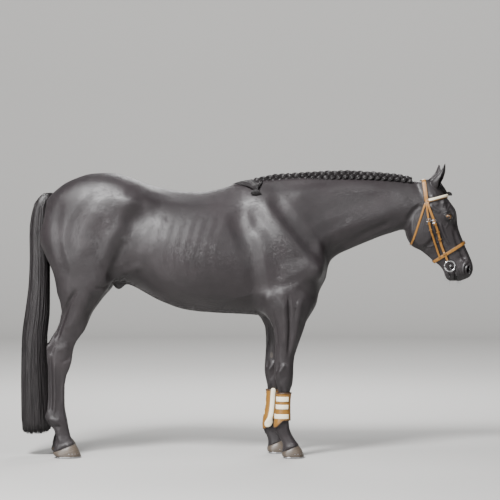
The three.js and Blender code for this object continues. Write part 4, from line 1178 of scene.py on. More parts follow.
def paintCoat(name, fine):
    material, shader, place = newMaterial(name, Roughness=0.5, Specular_IOR_Level=0.44)
    both = mirrored(place)
    x, z = both.part(0), both.part(2)
    mottle = place.noise(3.2, detail=3.0).between(0.36, 0.66)
    dapple = place.noise(11.0, detail=1.0).between(0.40, 0.64)
    streak = place.noise(60.0, (0.25, 1, 0.6), 2.0)
    share = mottle * 0.42 + dapple * 0.16 + streak * 0.36
    hair = share.choose(color(*coatPaint["dark"]), color(*coatPaint["light"]))
    # hairless skin round the eyes, nostrils and lips, and the horny patches on the legs
    u = both.vector("DOT_PRODUCT", tuple(downFace), "Value") - float(poll @ downFace)
    headMask = x.between(1.0, 1.06)
    muzzle = u.between(0.555, 0.625) * headMask
    eyes = nearSpot(both, coatPaint["eye"], 0.031, 0.70)
    bare = muzzle.math("MAXIMUM", eyes)
    hair = (bare * 0.85).choose(hair, color(*coatPaint["bare"]))
    flattened = place.vector("MULTIPLY", (1, 1, 0.55))
    for spot, reach in coatPaint["chestnuts"]:
        hair = nearSpot(flattened, spot, reach, 0.75).choose(hair, color(*coatPaint["horn"]))
    feed(shader, "Base Color", hair)
    feed(shader, "Roughness", share * -0.08 + 0.500 - bare * 0.09)
    if fine:
        trunk = place.noise(1.0, (55, 380, 150), 3.0)
        limbs = place.noise(1.0, (330, 330, 60), 3.0)
        face = place.noise(1.0, (300, 300, 210), 3.0)
        lower = z.between(1.06, 0.80)
        height = trunk * (1 - lower) + limbs * lower
        height = height * (1 - headMask) + face * headMask
        pores = place.noise(420.0, detail=1.0)
        wrinkle = place.noise(1.0, (90, 60, 240), 2.0)
        height = height * (1 - bare) + (pores * 0.35 + wrinkle * 0.65) * bare
        emboss(shader, height, 0.0010, 0.65)
    return material


# bridle
def evened(route, axis=0):
    # each place moved half way towards the middle of its neighbours, as on a closed route
    return (np.roll(route, 1, axis) + route * 2 + np.roll(route, -1, axis)) / 4


def tubeAlong(name, path, radius, around=10, closed=False):
    # a tube whose section is carried along the path without twisting
    path = np.array(path, float)
    run = runOf(path, closed)
    side = np.zeros_like(path)
    side[0] = unit(np.cross(run[0], (0.31, 0.17, 0.93)))
    for i in range(1, len(path)):
        side[i] = unit(side[i - 1] - run[i] * (side[i - 1] @ run[i]))
    up = np.cross(run, side)
    radius = np.broadcast_to(radius, len(path))
    a = roundAngles(around)[:, None]
    rings = [p + (s * np.cos(a) + u * np.sin(a)) * r for p, s, u, r in zip(path, side, up, radius)]
    return smoothLoft(name, rings, closed)


def strapAlong(name, path, out, width, thickness, lift=0.0008, closed=False, point=0.0):
    # a leather band with rounded edges; its inner face lies on the path
    path, out = np.array(path, float), unit(np.array(out, float))
    run = runOf(path, closed)
    out = unit(out - run * np.sum(out * run, axis=1, keepdims=True))
    side = np.cross(run, out)
    length = lengthAlong(path)
    a = roundAngles(18) + 0.17
    wide, deep = blunt(np.cos(a), 0.42), blunt(np.sin(a), 0.75)
    width = np.broadcast_to(width, len(path)).copy()
    if point:
        width *= np.sqrt(np.clip((length[-1] - length) / point, 0.05, 1))
    rings = [
        p + o * (lift + thickness / 2 + thickness / 2 * deep[:, None]) + s * (w / 2 * wide[:, None])
        for p, o, s, w in zip(path, out, side, width)
    ]
    o = smoothLoft(name, rings, closed)
    # the map runs along the strap one way and across it the other
    ring, place = np.divmod(cornersOf(o.data), len(a))
    along, across = length[ring], wide[place] * 0.5 + 0.5
    addMap(o, "strap", np.column_stack([along, across]))
    return o


def tightRound(centre, ahead, first, last, count, lift, closed=False):
    # a taut route round the head, in the plane through the centre that holds Y and ahead
    ahead = unit(np.array(ahead, float))
    across = np.array((0, 1.0, 0))
    angles = np.radians(np.linspace(first, last, count, endpoint=not closed))
    route = []
    for a in angles:
        ray = ahead * math.cos(a) + across * math.sin(a)
        hit = bareTree.ray_cast(Vector(centre + ray * 0.35), Vector(-ray))
        route.append(np.array(hit[0]) + ray * lift if hit[0] else centre + ray * 0.05)
    route = np.array(route)
    for i in range(160):
        between = (np.roll(route, 1, 0) + np.roll(route, -1, 0)) / 2
        farther = np.linalg.norm(between - centre, axis=1) > np.linalg.norm(route - centre, axis=1)
        if not closed:
            farther[[0, -1]] = False
        route[farther] = between[farther]
    for i in range(3):
        soft = evened(route)
        if not closed:
            soft[[0, -1]] = route[[0, -1]]
        route = soft
    run = np.roll(route, -1, 0) - np.roll(route, 1, 0)
    if not closed:
        run[0], run[-1] = route[1] - route[0], route[-1] - route[-2]
    plane = np.cross(ahead, across)
    out = unit(np.cross(unit(run), plane))
    out *= np.sign(np.sum(out * (route - centre), axis=1))[:, None]
    lean = np.array([surfaceAt(r, bareTree)[1] for r in route])
    for i in range(6):
        lean = unit(evened(lean))
    return route, unit(out * 0.45 + lean * 0.55)


def downSide(stops, side, lift, count=40):
    # a route on the side of the head through (u, v) stops
    flat = curveThrough(stops, count)
    route = np.array([sideHit(*headPoint(u, v)[[0, 2]], side) for u, v in flat])
    reach = route[:, 1] * side
    for i in range(40):
        between = (np.roll(reach, 1) + np.roll(reach, -1)) / 2
        between[[0, -1]] = reach[[0, -1]]
        reach = np.maximum(reach, between)
    route[:, 1] = side * (reach + lift)
    out = np.array([surfaceAt(r, bareTree)[1] for r in route])
    for i in range(8):
        out = unit(np.vstack([out[:1], evened(out)[1:-1], out[-1:]]))
    return route, out


def buckle(centre, along, out, wide, tall, wire):
    # a square frame with rounded corners, and its tongue
    along, out = unit(along - out * (along @ out)), unit(out)
    side = np.cross(along, out)
    a = roundAngles(32)[:, None]
    c, s = blunt(np.cos(a), 0.45), blunt(np.sin(a), 0.45)
    bow = 0.12 * wide * (1 - c**2)
    rim = centre + side * c * wide / 2 + along * s * tall / 2 + out * bow
    tongue = [
        centre - along * tall / 2 + out * 0.0025,
        centre + out * 0.004,
        centre + along * (tall / 2 + 0.001) + out * 0.003,
    ]
    return [
        tubeAlong("buckle", rim, wire, 8, True),
        tubeAlong("buckle", curveThrough(tongue, 8), wire * 0.75, 8),
    ]


def keeper(route, out, index, width, thickness, wide=0.007):
    # a narrow loop of leather round a strap
    centre, o = route[index], out[index]
    run = unit(route[min(index + 1, len(route) - 1)] - route[index - 1])
    side = np.cross(run, o)
    a = roundAngles(28)
    w = blunt(np.cos(a), 0.35) * (width / 2 + 0.0012)
    d = blunt(np.sin(a), 0.45) * (thickness / 2 + 0.0012)
    path = centre + o * (0.0008 + thickness / 2) + side * w[:, None] + o * d[:, None]
    outwards = unit(path - centre - o * (0.0008 + thickness / 2))
    return strapAlong("keeper", path, outwards, wide, 0.0018, lift=0.0, closed=True)


tackPlan = {
    "leather": 0.0042, "crown": 0.027, "brow": 0.021, "nose": 0.022, "cheek": 0.0165, "hanger": 0.0135,
    "throat": 0.0135, "ring": 0.0315, "wire": 0.0042, "ringAt": (0.5465, -0.0775), "ringSide": 0.0585,
}
# straps on the side of the head as (down the face from the poll, off the face)
cheekStops = [
    (0.135, -0.060), (0.185, -0.064), (0.243, -0.066), (0.326, -0.070), (0.407, -0.0775), (0.488, -0.076),
    (0.512, -0.076),
]
hangerStops = [
    (0.128, -0.064), (0.150, -0.072), (0.190, -0.083), (0.279, -0.1035), (0.350, -0.109), (0.420, -0.1115),
    (0.478, -0.113),
]


def hangingStrap(name, stops, side, width, thick, lap):
    # a strap down the side of the head, with the billet that comes back up through its buckle, and keepers
    route, out = downSide(stops, side, 0.0040, 60)
    parts = [strapAlong(name, route, out, width, thick)]
    first, last = lap["span"]
    over, overOut = route[first:last] + unit(out[first:last]) * lap["off"], out[first:last]
    parts.append(strapAlong(name, over, overOut, width * 0.92, lap["thick"], point=lap["point"]))
    parts += [keeper(route, out, i, width, lap["stack"]) for i in lap["keepers"]]
    before, at, after = range(first, first + 3)
    centre = route[at] + out[at] * 0.0075
    metal = buckle(centre, route[after] - route[before], out[at], width + 0.007, lap["tall"], lap["wire"])
    return route, out, parts, metal


def buildBridle():
    plan, leather, cream, steel = tackPlan, {}, [], {}
    t = plan["leather"]
    # over the poll, behind the ears
    top, bottom = headPoint(-0.012, -0.021), headPoint(0.122, -0.059)
    route, out = tightRound(headPoint(0.108, -0.058), top - bottom, -104, 104, 90, 0.0035)
    leather["crownpiece"] = [strapAlong("crownpiece", route, out, plan["crown"], t)]
    # across the forehead
    back, front = headPoint(0.126, -0.074), headPoint(0.149, 0.085)
    route, out = tightRound(headPoint(0.131, -0.045), front - back, -108, 108, 96, 0.0035)
    leather["browband"] = [strapAlong("browband", route, out, plan["brow"], t)]
    across = np.cross(runOf(route), unit(out))
    across *= np.sign(across @ -downFace)[:, None]
    inner = slice(7, -7)
    fine = np.linspace(0, 1, 260)
    at = np.linspace(0, 1, len(route[inner]))
    spine, normal, lateral = (
        np.column_stack([np.interp(fine, at, column) for column in line[inner].T])
        for line in (route, out, across)
    )
    length = lengthAlong(spine)
    for k in range(3):
        turn = length / 0.030 * 2 * math.pi + k * 2 * math.pi / 3
        off, along = t + 0.0028 + 0.0022 * np.sin(turn), 0.0030 + 0.0048 * np.cos(turn)
        cream.append(tubeAlong("cord", spine + normal * off[:, None] + lateral * along[:, None], 0.0034, 8))
    # round the nose
    under, over = headPoint(0.495, -0.186), headPoint(0.447, 0.076)
    route, out = tightRound(headPoint(0.468, -0.05), over - under, 0, 360, 110, 0.0045, closed=True)
    leather["noseband"] = [strapAlong("noseband", route, out, plan["nose"], t + 0.0012, closed=True)]
    # under the throat
    low, high = headPoint(0.345, -0.250), headPoint(0.145, -0.082)
    route, out = tightRound(headPoint(0.165, -0.098), low - high, -114, 114, 110, 0.0035)
    leather["throatlatch"] = [strapAlong("throatlatch", route, out, plan["throat"], t * 0.85)]
    for sideName, side in sides.items():
        width = plan["cheek"]
        lap = {
            "span": (18, 40), "off": 0.0046, "thick": t * 0.8, "point": 0.012, "keepers": (22, 30, 37),
            "stack": t * 2.1, "tall": 0.019, "wire": 0.0014,
        }
        route, out, cheek, metal = hangingStrap("cheekpiece", cheekStops, side, width, t, lap)
        # its lower end turns back up round the bit ring
        hook, hookOut = route[50:] + unit(out[50:]) * 0.0046, out[50:]
        cheek.append(strapAlong("cheekpiece", hook, hookOut, width * 0.95, t * 0.8))
        cheek.append(keeper(route, out, 52, width, t * 2.1))
        leather["cheekpiece_" + sideName] = cheek
        lap = {
            "span": (18, 33), "off": 0.0042, "thick": t * 0.75, "point": 0.010, "keepers": (23, 29),
            "stack": t * 1.9, "tall": 0.018, "wire": 0.0015,
        }
        hang, hangMetal = hangingStrap("hanger", hangerStops, side, plan["hanger"], t * 0.9, lap)[2:]
        leather["noseband_hanger_" + sideName] = hang
        metal += hangMetal
        # bit: a loose ring, and the butt end of its mouthpiece
        ringSpot = headPoint(*plan["ringAt"], side * plan["ringSide"])
        a = roundAngles(56)
        ring = ringSpot + triple(np.cos(a), 0.02 * side * np.cos(a), np.sin(a)) * plan["ring"]
        metal.append(tubeAlong("ring", ring, plan["wire"], 12, True))
        corner = headPoint(0.5525, -0.0700, side * 0.040)
        butt = ringSpot - downFace * 0.004 + offFace * 0.003
        mouth = curveThrough([ringSpot + unit(corner - ringSpot) * 0.004 + (butt - ringSpot), corner], 10)
        barrel = ringSpot + downFace * 0.010 - offFace * 0.0295
        metal.append(tubeAlong("ring", mouth, np.linspace(0.0085, 0.0065, 10), 12))
        stops = [barrel + (0, side * d, 0) for d in (-0.0075, -0.006, 0.006, 0.0075)]
        metal.append(tubeAlong("ring", stops, (0.0045, 0.0062, 0.0062, 0.0045), 12))
        steel[sideName] = metal
    return leather, cream, steel


leatherParts, cordParts, steelParts = buildBridle()
straps = {name: joined(name + "Leather", parts) for name, parts in leatherParts.items()}
browCord = joined("browbandCord", cordParts)
bits = {sideName: joined("bit_" + sideName, parts) for sideName, parts in steelParts.items()}
print("bridle made")


def paintLeather(name, mid, edge, rough=0.42):
    material, shader, place = newMaterial(name, Roughness=rough)
    fromMiddle = (ownMap(place).part(1) - 0.5).math("ABSOLUTE") * 2.0
    border = fromMiddle.between(0.62, 0.98)
    wear = place.noise(45.0, detail=3.0).between(0.35, 0.7)
    grain = place.noise(420.0, detail=2.0)
    body = (wear * 0.6).choose(color(*mid), color(*(c * 1.45 for c in mid)))
    feed(shader, "Base Color", (border * 0.92).choose(body, color(*edge)))
    crease = fromMiddle.between(0.66, 0.74) * (1 - fromMiddle.between(0.74, 0.82))
    emboss(shader, grain * 0.35 - crease, 0.0007, 0.6)
    feed(shader, "Roughness", (grain * 0.12) + (rough - 0.06))
    return material


# boots
bootPlan = {
    "around": 72, "rows": 26, "top": 0.392, "wall": 0.0045,
    "right": {"front": 0.227, "back": 0.184}, "left": {"front": 0.212, "back": 0.150},
    "straps": [(0.2515, 0.030), (0.3085, 0.029), (0.355, 0.031)],
}


def bootSurface(sideName):
    # how far the boot reaches from the cannon's axis, by angle and height
    plan = bootPlan
    node = copyOf("boot_" + sideName)
    tree = treeOf(node)
    low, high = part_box("boot_" + sideName)
    bpy.data.objects.remove(node)
    heights = np.linspace(0.140, plan["top"], 40)
    angles = roundAngles(plan["around"])
    spine = np.interp(heights, [0.14, 0.215, 0.26, 0.392], [-0.004, -0.003, 0.0, 0.002])
    middleX = (low.x + high.x) / 2 + (0.004 if sideName == "right" else 0.002)
    middleY = (low.y + high.y) / 2
    reach = np.zeros((len(heights), len(angles)))
    for i, z in enumerate(heights):
        for j, a in enumerate(angles):
            centre = Vector((middleX + spine[i], middleY, z))
            ray = Vector((math.cos(a), math.sin(a), 0))
            hit = skinTree.ray_cast(centre + ray * 0.12, -ray, 0.12)
            body = (hit[0] - centre).length + 0.0075 if hit[0] else 0.03
            hit = tree.ray_cast(centre + ray * 0.12, -ray, 0.12) if z > low.z + 0.002 else (None,)
            outer = (hit[0] - centre).length if hit[0] else 0
            reach[i, j] = max(body, outer)
    for i in range(6):
        reach = evened(reach, 1)
        reach[1:-1] = evened(reach)[1:-1]
    return {"heights": heights, "angles": angles, "reach": reach, "x": middleX + spine, "y": middleY}


def onBoot(surface, z, a, lift=0.0):
    # points on the boot at heights and angles, read between the measured ones
    z, a = np.broadcast_arrays(np.asarray(z, float), np.asarray(a, float))
    row = np.interp(z, surface["heights"], np.arange(len(surface["heights"])))
    column = (a / (2 * math.pi) * len(surface["angles"])) % len(surface["angles"])
    i, j = np.floor(row).astype(int), np.floor(column).astype(int)
    i1, j1 = np.minimum(i + 1, len(surface["heights"]) - 1), (j + 1) % len(surface["angles"])
    s, t = row - i, column - j
    reach = surface["reach"]
    here, following = (reach[i, k] * (1 - s) + reach[i1, k] * s for k in (j, j1))
    r = here * (1 - t) + following * t + lift
    x = np.interp(z, surface["heights"], surface["x"])
    return np.stack([x + r * np.cos(a), surface["y"] + r * np.sin(a), z], axis=-1)


def buildBoot(sideName):
    plan, surface = bootPlan, bootSurface(sideName)
    side, ends = sides[sideName], bootPlan[sideName]
    turned = 1 if side < 0 else -1
    rings, strips, cords = [], [], []
    heights = np.linspace(0, 1, plan["rows"])
    puff = 0.0010 * np.sin(heights * math.pi)
    # the lower edge is cut lower behind than in front
    backwards = [ramp(0.15, -0.95, math.cos(a)) for a in surface["angles"]]
    bottoms = [ends["front"] + (ends["back"] - ends["front"]) * share for share in backwards]
    for a, bottom in zip(surface["angles"], bottoms):
        z = bottom + (plan["top"] - bottom) * heights
        outer = onBoot(surface, z, a, puff)
        inner = onBoot(surface, z[::-1], a, -plan["wall"])
        rings.append(np.vstack([outer, inner]))
    shell = smoothLoft("boot_" + sideName, rings, hoop=True)
    # rolled binding at the top and along the lower edge
    upper, lower = np.full(len(bottoms), plan["top"] - 0.002), np.array(bottoms) + 0.001
    for edge, radius in ((upper, 0.0048), (lower, 0.0028)):
        path = onBoot(surface, edge, surface["angles"], -0.0015)
        cords.append(tubeAlong("binding", path, radius, 10, True))
    # three straps on the outer side, from behind round to the front
    outside = math.pi * 1.5 if side < 0 else math.pi * 0.5
    span = np.radians(np.linspace(-112, 44, 46)) * turned
    for middle, tall in plan["straps"]:
        path = onBoot(surface, middle, outside + span, 0.0008)
        out = path - triple(surface["x"].mean(), surface["y"], path[:, 2])
        strips.append(strapAlong("bootStrap", path, out, tall - 0.002, 0.0034, lift=0.0002))
    # strike pad on the inner side, wider at its foot
    inside = outside + math.pi
    lowEnd = ends["back"] + 0.012
    z = np.linspace(lowEnd, 0.402, 34)
    levels = [lowEnd, lowEnd + 0.010, lowEnd + 0.028, lowEnd + 0.055, 0.30, 0.392, 0.402]
    half = np.interp(z, levels, [0.008, 0.022, 0.0265, 0.0155, 0.0145, 0.0145, 0.008])
    lean = np.interp(z, [lowEnd, 0.23, 0.30, 0.40], [0.024, 0.006, -0.001, -0.006])
    sections = []
    for h, w, shift in zip(z, half, lean):
        b = roundAngles(16)
        r = surface["reach"][np.argmin(np.abs(surface["heights"] - h))].mean()
        turn = (np.cos(b) * w + shift) / r * turned
        thick = 0.0060 * blunt(np.sin(b), 0.7)
        section = onBoot(surface, min(h, plan["top"] + 0.008), inside + turn, thick + 0.0012)
        section[:, 2] = h
        sections.append(section)
    return shell, joined("binding_" + sideName, cords), strips, smoothLoft("pad_" + sideName, sections)


boots = {sideName: buildBoot(sideName) for sideName in sides}
print("boots made")


# hooves and shoes
shoeNodes = [f"shoe_{end}_{s}" for end in ("fore", "hind") for s in sides]
hoofPlan = {"rings": 26, "points": 72, "belly": 0.003, "band": 0.0007}


def hoofRing(centre, halfLength, halfWidth, tilt):
    # round at the toe and squarer at the heels
    a = roundAngles(hoofPlan["points"])
    c, s = np.cos(a), np.sin(a)
    power = np.where(c < 0, 0.72, 0.94)
    along, across = blunt(c, power) * halfLength, blunt(s, power) * halfWidth
    return np.array(centre) + triple(along * math.cos(tilt), across, along * math.sin(tilt))


def buildHoof(name):
    p = points(nodes[name])
    across = np.array((math.cos(coronetTilt), 0, math.sin(coronetTilt)))
    height = p @ coronetUp
    top, sole = p[height > height.max() - 0.0002], p[p[:, 2] < p[:, 2].min() + 0.0002]
    reach = top @ across
    y = middleOf(p[:, 1])
    topCentre = across * middleOf(reach) + coronetUp * height.max() + np.array((0, y, 0))
    soleCentre = np.array((middleOf(sole[:, 0]), y, sole[:, 2].mean()))
    # half the length and width, at the sole and at the coronet
    soleHalf = np.array((np.ptp(sole[:, 0]) / 2, np.ptp(sole[:, 1]) / 1.95))
    topHalf = np.array((np.ptp(reach) / 2, np.ptp(top[:, 1]) / 1.95))
    rings = []
    for t in np.linspace(0, 1, hoofPlan["rings"]):
        # the wall bellies a little, and its top narrows above a soft band
        belly = 4 * hoofPlan["belly"] * t * (1 - t) * 0.75
        belly += hoofPlan["band"] * max(0.0, 1 - ((t - 0.86) / 0.09) ** 2) - 0.0030 * ramp(0.72, 1.0, t)
        half = soleHalf + (topHalf - soleHalf) * t + belly
        rings.append(hoofRing(soleCentre + (topCentre - soleCentre) * t, *half, coronetTilt * t))
    # the edges roll over at the top and under the wall
    rings.append(hoofRing(topCentre - coronetUp * 0.0002, *(topHalf - 0.006), coronetTilt))
    rings.insert(0, hoofRing(soleCentre, *(soleHalf - 0.004), 0))
    return smoothLoft(name + "Horn", rings)


def buildShoe(name):
    low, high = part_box(name)
    o = copyOf(name)
    dissolve = (bpy.ops.mesh.dissolve_limited, {"angle_limit": math.radians(4)})
    editAll(o, (bpy.ops.mesh.remove_doubles, {"threshold": 1e-5}), dissolve)
    modify(o, "BEVEL", width=0.0011, segments=2, limit_method="ANGLE", angle_limit=math.radians(35))
    pieces = [o]
    # nail clenches low on the wall of the hoof, four to a side
    tree = treeOf(hooves[name.replace("shoe", "hoof")])
    middle = Vector(((low.x + high.x) / 2, (low.y + high.y) / 2, 0.027))
    for turn in (34, 52, 70, 88, -34, -52, -70, -88):
        ray = Vector((math.cos(math.radians(turn)), math.sin(math.radians(turn)), 0))
        hit = tree.ray_cast(middle + ray * 0.12, -ray)
        if hit[0]:
            bpy.ops.mesh.primitive_cube_add(size=1, location=hit[0] + ray * 0.0002)
            nail = bpy.context.object
            nail.scale = (0.0024, 0.0052, 0.0040)
            nail.rotation_euler = (0, -0.35, math.radians(turn))
            pick(nail)
            bpy.ops.object.transform_apply(location=True, rotation=True, scale=True)
            modify(nail, "BEVEL", width=0.0006, segments=2)
            pieces.append(nail)
    return joined(name + "Steel", pieces)


hooves = {name: buildHoof(name) for name in hoofNodes}
shoes = {name: buildShoe(name) for name in shoeNodes}
print("hooves and shoes made")


def paintHoof():
    material, shader, place = newMaterial("hoof", Roughness=0.42)
    # growth rings run parallel to the coronet, and fine fibres run down the wall
    level = place.part(2) + place.part(0) * -0.404 * 0.75
    rings = Wire(place.tree, place.node("CombineXYZ", {}, {"X": level, "Y": 0.0, "Z": 0.0}).outputs[0])
    grow = rings.noise(190.0, detail=2.0)
    grain = place.noise(1.0, (520, 520, 20), 2.0)
    share = grow * 0.8 + grain * 0.2
    body = share.between(0.34, 0.66).choose(color(0.048, 0.036, 0.027), color(0.105, 0.082, 0.062))
    low = place.part(2).between(0.040, 0.012) * 0.45
    feed(shader, "Base Color", low.choose(body, color(0.040, 0.031, 0.024)))
    feed(shader, "Roughness", grain * 0.2 + 0.34)
    emboss(shader, grain * 0.12 + grow * 0.88, 0.0009, 0.7)
    return material


# eyes
eyePlan = {"iris": 0.0168, "pupil": (0.0086, 0.0050), "cornea": 0.0009}


def buildEye(sideName):
    centre, radius, forward, upward, out = eyeFrames[sideName]
    bpy.ops.mesh.primitive_uv_sphere_add(segments=64, ring_count=40, radius=radius, location=centre)
    o = bpy.context.object
    o.name = o.data.name = "eye" + sideName
    bpy.ops.object.transform_apply(location=True, rotation=True, scale=True)
    p = points(o)
    rel = p - centre
    swell = ramp(0.72, 0.90, unit(rel) @ out)
    movePoints(o, p + unit(rel) * (swell * eyePlan["cornea"])[:, None])
    bpy.ops.object.shade_smooth()
    return o


def paintEye(centre, forward, upward):
    material, shader, place = newMaterial("eye", Roughness=0.06, Coat_Weight=1.0, Coat_Roughness=0.02)
    both = mirrored(place)
    rel = both.vector("SUBTRACT", tuple(centre))
    x = rel.vector("DOT_PRODUCT", tuple(forward), "Value")
    y = rel.vector("DOT_PRODUCT", tuple(upward), "Value")
    radius = (x * x + y * y).math("SQRT")
    px, py = eyePlan["pupil"]
    tilt = math.radians(-14)
    xs, ys = x * math.cos(tilt) + y * math.sin(tilt), y * math.cos(tilt) - x * math.sin(tilt)
    wide, tall = xs * (1 / px), ys * (1 / py)
    oval = (wide * wide + tall * tall).math("SQRT")
    fibres = place.noise(900.0, detail=3.0)
    iris = (radius.between(0.006, 0.0165)).choose(color(0.075, 0.032, 0.010), color(0.27, 0.130, 0.040))
    iris = (fibres.between(0.35, 0.7) * 0.45).choose(iris, color(0.060, 0.026, 0.010))
    edge = eyePlan["iris"]
    ball = radius.between(edge * 0.93, edge * 1.03).choose(iris, color(0.016, 0.010, 0.008))
    ball = radius.between(edge * 1.05, edge * 1.16).choose(ball, color(0.48, 0.42, 0.34))
    feed(shader, "Base Color", oval.between(1.06, 0.92).choose(ball, color(0.0025, 0.002, 0.002)))
    return material


eyes = {sideName: buildEye(sideName) for sideName in sides}
print("eyes made")


# coat: thin tufts that lie along the body
coatPlan = {
    "pieces": 6, "tufts": 31000, "jitter": 0.13, "booted": (0.235, 0.375),
    # how far a tuft's root and edges lie in the skin, and its middle and tip above it
    "root": 0.0007, "edge": 0.00012, "height": 0.00010, "tip": 0.0002,
    "trunk": (0.0220, 0.00155), "leg": (0.0155, 0.00135), "head": (0.0095, 0.0010),
}


def lieOfCoat(p, n):
    # the way the hair points at each place
    head, leg, trunk = regions(p)
    uv = headCoords(p)
    x, z, side = p[:, 0], p[:, 2], np.sign(p[:, 1])
    neckWay = triple(-1, 0, np.full(len(p), -0.75))
    way = blend(triple(-1, 0, -0.25 - 0.55 * ramp(1.62, 1.2, z)), neckWay, ramp(0.25, 0.50, x))
    # the rump and buttocks turn down, the breast fans out, and the flank swirls
    way = blend(way, np.array((-0.35, 0, -1.0)), ramp(-0.85, -1.10, x))
    way = blend(way, triple(0, side * 0.45, -1), ramp(0.30, 0.42, x) * ramp(1.28, 1.15, z))
    fromFlank = triple(x + 0.66, 0, z - 1.36)
    reach = np.linalg.norm(fromFlank, axis=1)
    turned = unit(fromFlank) + triple(fromFlank[:, 2], 0, -fromFlank[:, 0]) * 4
    way = blend(way, turned, ramp(0.22, 0.05, reach))
    way = blend(way, np.array((-0.12, 0, -1.0)), leg)
    # the face: down towards the lips below the swirl between the eyes, up above it, back over the cheeks
    onFace = downFace * (ramp(0.16, 0.26, uv[:, 0]) * 2 - 1)[:, None] + triple(0, side * 0.25, 0)
    cheek = ramp(0.02, -0.08, uv[:, 1]) * ramp(0.46, 0.36, uv[:, 0])
    way = blend(way, blend(onFace, downFace * 0.55 - offFace * 0.8, cheek), head)
    ears = ramp(1.660, 1.675, z) * (x > 1.08)
    way = blend(way, np.array((0.30, 0, 1.0)), ears)
    return unit(way - n * np.sum(way * n, axis=1, keepdims=True))


def tuftSizes(p, n):
    # length, width and how far the tip stands off, by place
    head, leg, trunk = regions(p)
    uv = headCoords(p)
    x, z = p[:, 0], p[:, 2]
    length, width = (
        coatPlan["trunk"][k] * trunk + coatPlan["leg"][k] * leg + coatPlan["head"][k] * head for k in (0, 1)
    )
    stand = np.full(len(p), 0.0001)
    muzzle = head * ramp(0.53, 0.60, uv[:, 0])
    length, width = length * (1 - 0.45 * muzzle), width * (1 - 0.35 * muzzle)
    for distance in fromEyes(p):
        close = ramp(0.060, 0.034, distance)
        length, width = length * (1 - 0.55 * close), width * (1 - 0.45 * close)
    low = ramp(0.15, 0.10, z)
    length, width = length * (1 - 0.25 * low), width * (1 - 0.15 * low)
    # longer hair behind the fetlocks, under the jaw, along the belly and round the coronets
    behind = ramp(-0.35, -0.8, n[:, 0])
    fetlock = behind * ramp(0.30, 0.24, z) * ramp(0.12, 0.16, z)
    length, stand = length + 0.020 * fetlock, stand + 0.0045 * fetlock
    coronet = ramp(0.034, 0.012, aboveCoronet(p)) * (z < feetBelow)
    length, stand = length + 0.002 * coronet, stand + 0.0001 * coronet
    jaw = head * ramp(0.4, 0.8, -n @ offFace) * ramp(0.10, 0.25, uv[:, 0])
    length, stand = length + 0.007 * jaw, stand + 0.0012 * jaw
    belly = trunk * ramp(0.7, 0.95, -n[:, 2])
    length, stand = length + 0.006 * belly, stand + 0.0012 * belly
    ears = ramp(1.660, 1.680, z) * (x > 1.08)
    length, width = length * (1 - 0.1 * ears), width * (1 - 0.15 * ears)
    inside = ears * ramp(0.2, 0.6, n[:, 0])
    length, stand = length + 0.007 * inside, stand + 0.0020 * inside
    return length, width, stand


def skinFaces():
    # the corners, area and normal of each triangle of the skin
    mesh = skin.data
    mesh.calc_loop_triangles()
    corners = points(skin)[readAll(mesh.loop_triangles, "vertices", np.int32, 3)]
    cross = np.cross(corners[:, 1] - corners[:, 0], corners[:, 2] - corners[:, 0])
    return corners, np.linalg.norm(cross, axis=1) / 2, unit(cross)


def chooseRoots(total, rng):
    corners, area, normal = skinFaces()
    centre = corners.mean(1)
    length, width = tuftSizes(centre, normal)[:2]
    weight = area / (length * width)
    x, z = centre[:, 0], centre[:, 2]
    # none under the boots, in the eye sockets or on the ends of the legs inside the hooves
    weight[(x > hindBehind) & (z > coatPlan["booted"][0]) & (z < coatPlan["booted"][1])] = 0
    for sideName in sides:
        eye, radius = eyeFrames[sideName][:2]
        weight[np.linalg.norm(centre - eye, axis=1) < radius + 0.0030] = 0
    weight[(z < 0.10) & (normal @ coronetUp < -0.8)] = 0
    face = rng.choice(len(area), size=total, p=weight / weight.sum())
    a, b = rng.random(total), rng.random(total)
    flip = a + b > 1
    a, b = np.where(flip, 1 - a, a), np.where(flip, 1 - b, b)
    c = corners[face]
    return c[:, 0] + (c[:, 1] - c[:, 0]) * a[:, None] + (c[:, 2] - c[:, 0]) * b[:, None], normal[face]


# tufts lie on the skin, and their tips on the horn below it
coatBed = joined("coatBed", [twin(o) for o in (skin, *hooves.values())])
coatTree = treeOf(coatBed)
bpy.data.objects.remove(coatBed)


def onSkin(p):
    found = [coatTree.find_nearest(Vector(q)) for q in p]
    return np.array([f[0] for f in found]), np.array([f[1] for f in found])


def tuftMesh(name, roots, n, rng):
    way = lieOfCoat(roots, n)
    length, width, stand = tuftSizes(roots, n)
    count = len(roots)
    side = np.cross(n, way)
    way = unit(way + side * rng.normal(0, coatPlan["jitter"], count)[:, None])
    side = np.cross(n, way)
    length = length * rng.uniform(0.75, 1.25, count)
    width = width * rng.uniform(0.8, 1.25, count)
    middle, nm = onSkin(roots + way * (length * 0.42)[:, None])
    tip, nt = onSkin(roots + way * length[:, None])
    height = coatPlan["height"] * np.clip(width / 0.0015, 0.5, 1.2) * rng.uniform(0.7, 1.2, count)
    half = side * (width / 2)[:, None]
    verts = np.stack([
        roots - n * coatPlan["root"],
        middle - half - nm * coatPlan["edge"],
        middle + nm * (height + stand * 0.4)[:, None],
        middle + half - nm * coatPlan["edge"],
        tip + nt * (coatPlan["tip"] + stand * rng.uniform(0.6, 1.3, count))[:, None],
    ], axis=1).reshape(-1, 3)
    pattern = np.array([(0, 2, 1), (0, 3, 2), (0, 1, 3), (4, 1, 2), (4, 2, 3), (4, 3, 1)])
    o = arrayMesh(name, verts, (pattern[None] + (np.arange(count) * 5)[:, None, None]).reshape(-1, 3))
    patchMap(o, roots, 5)
    pick(o)
    bpy.ops.object.shade_flat()
    return o


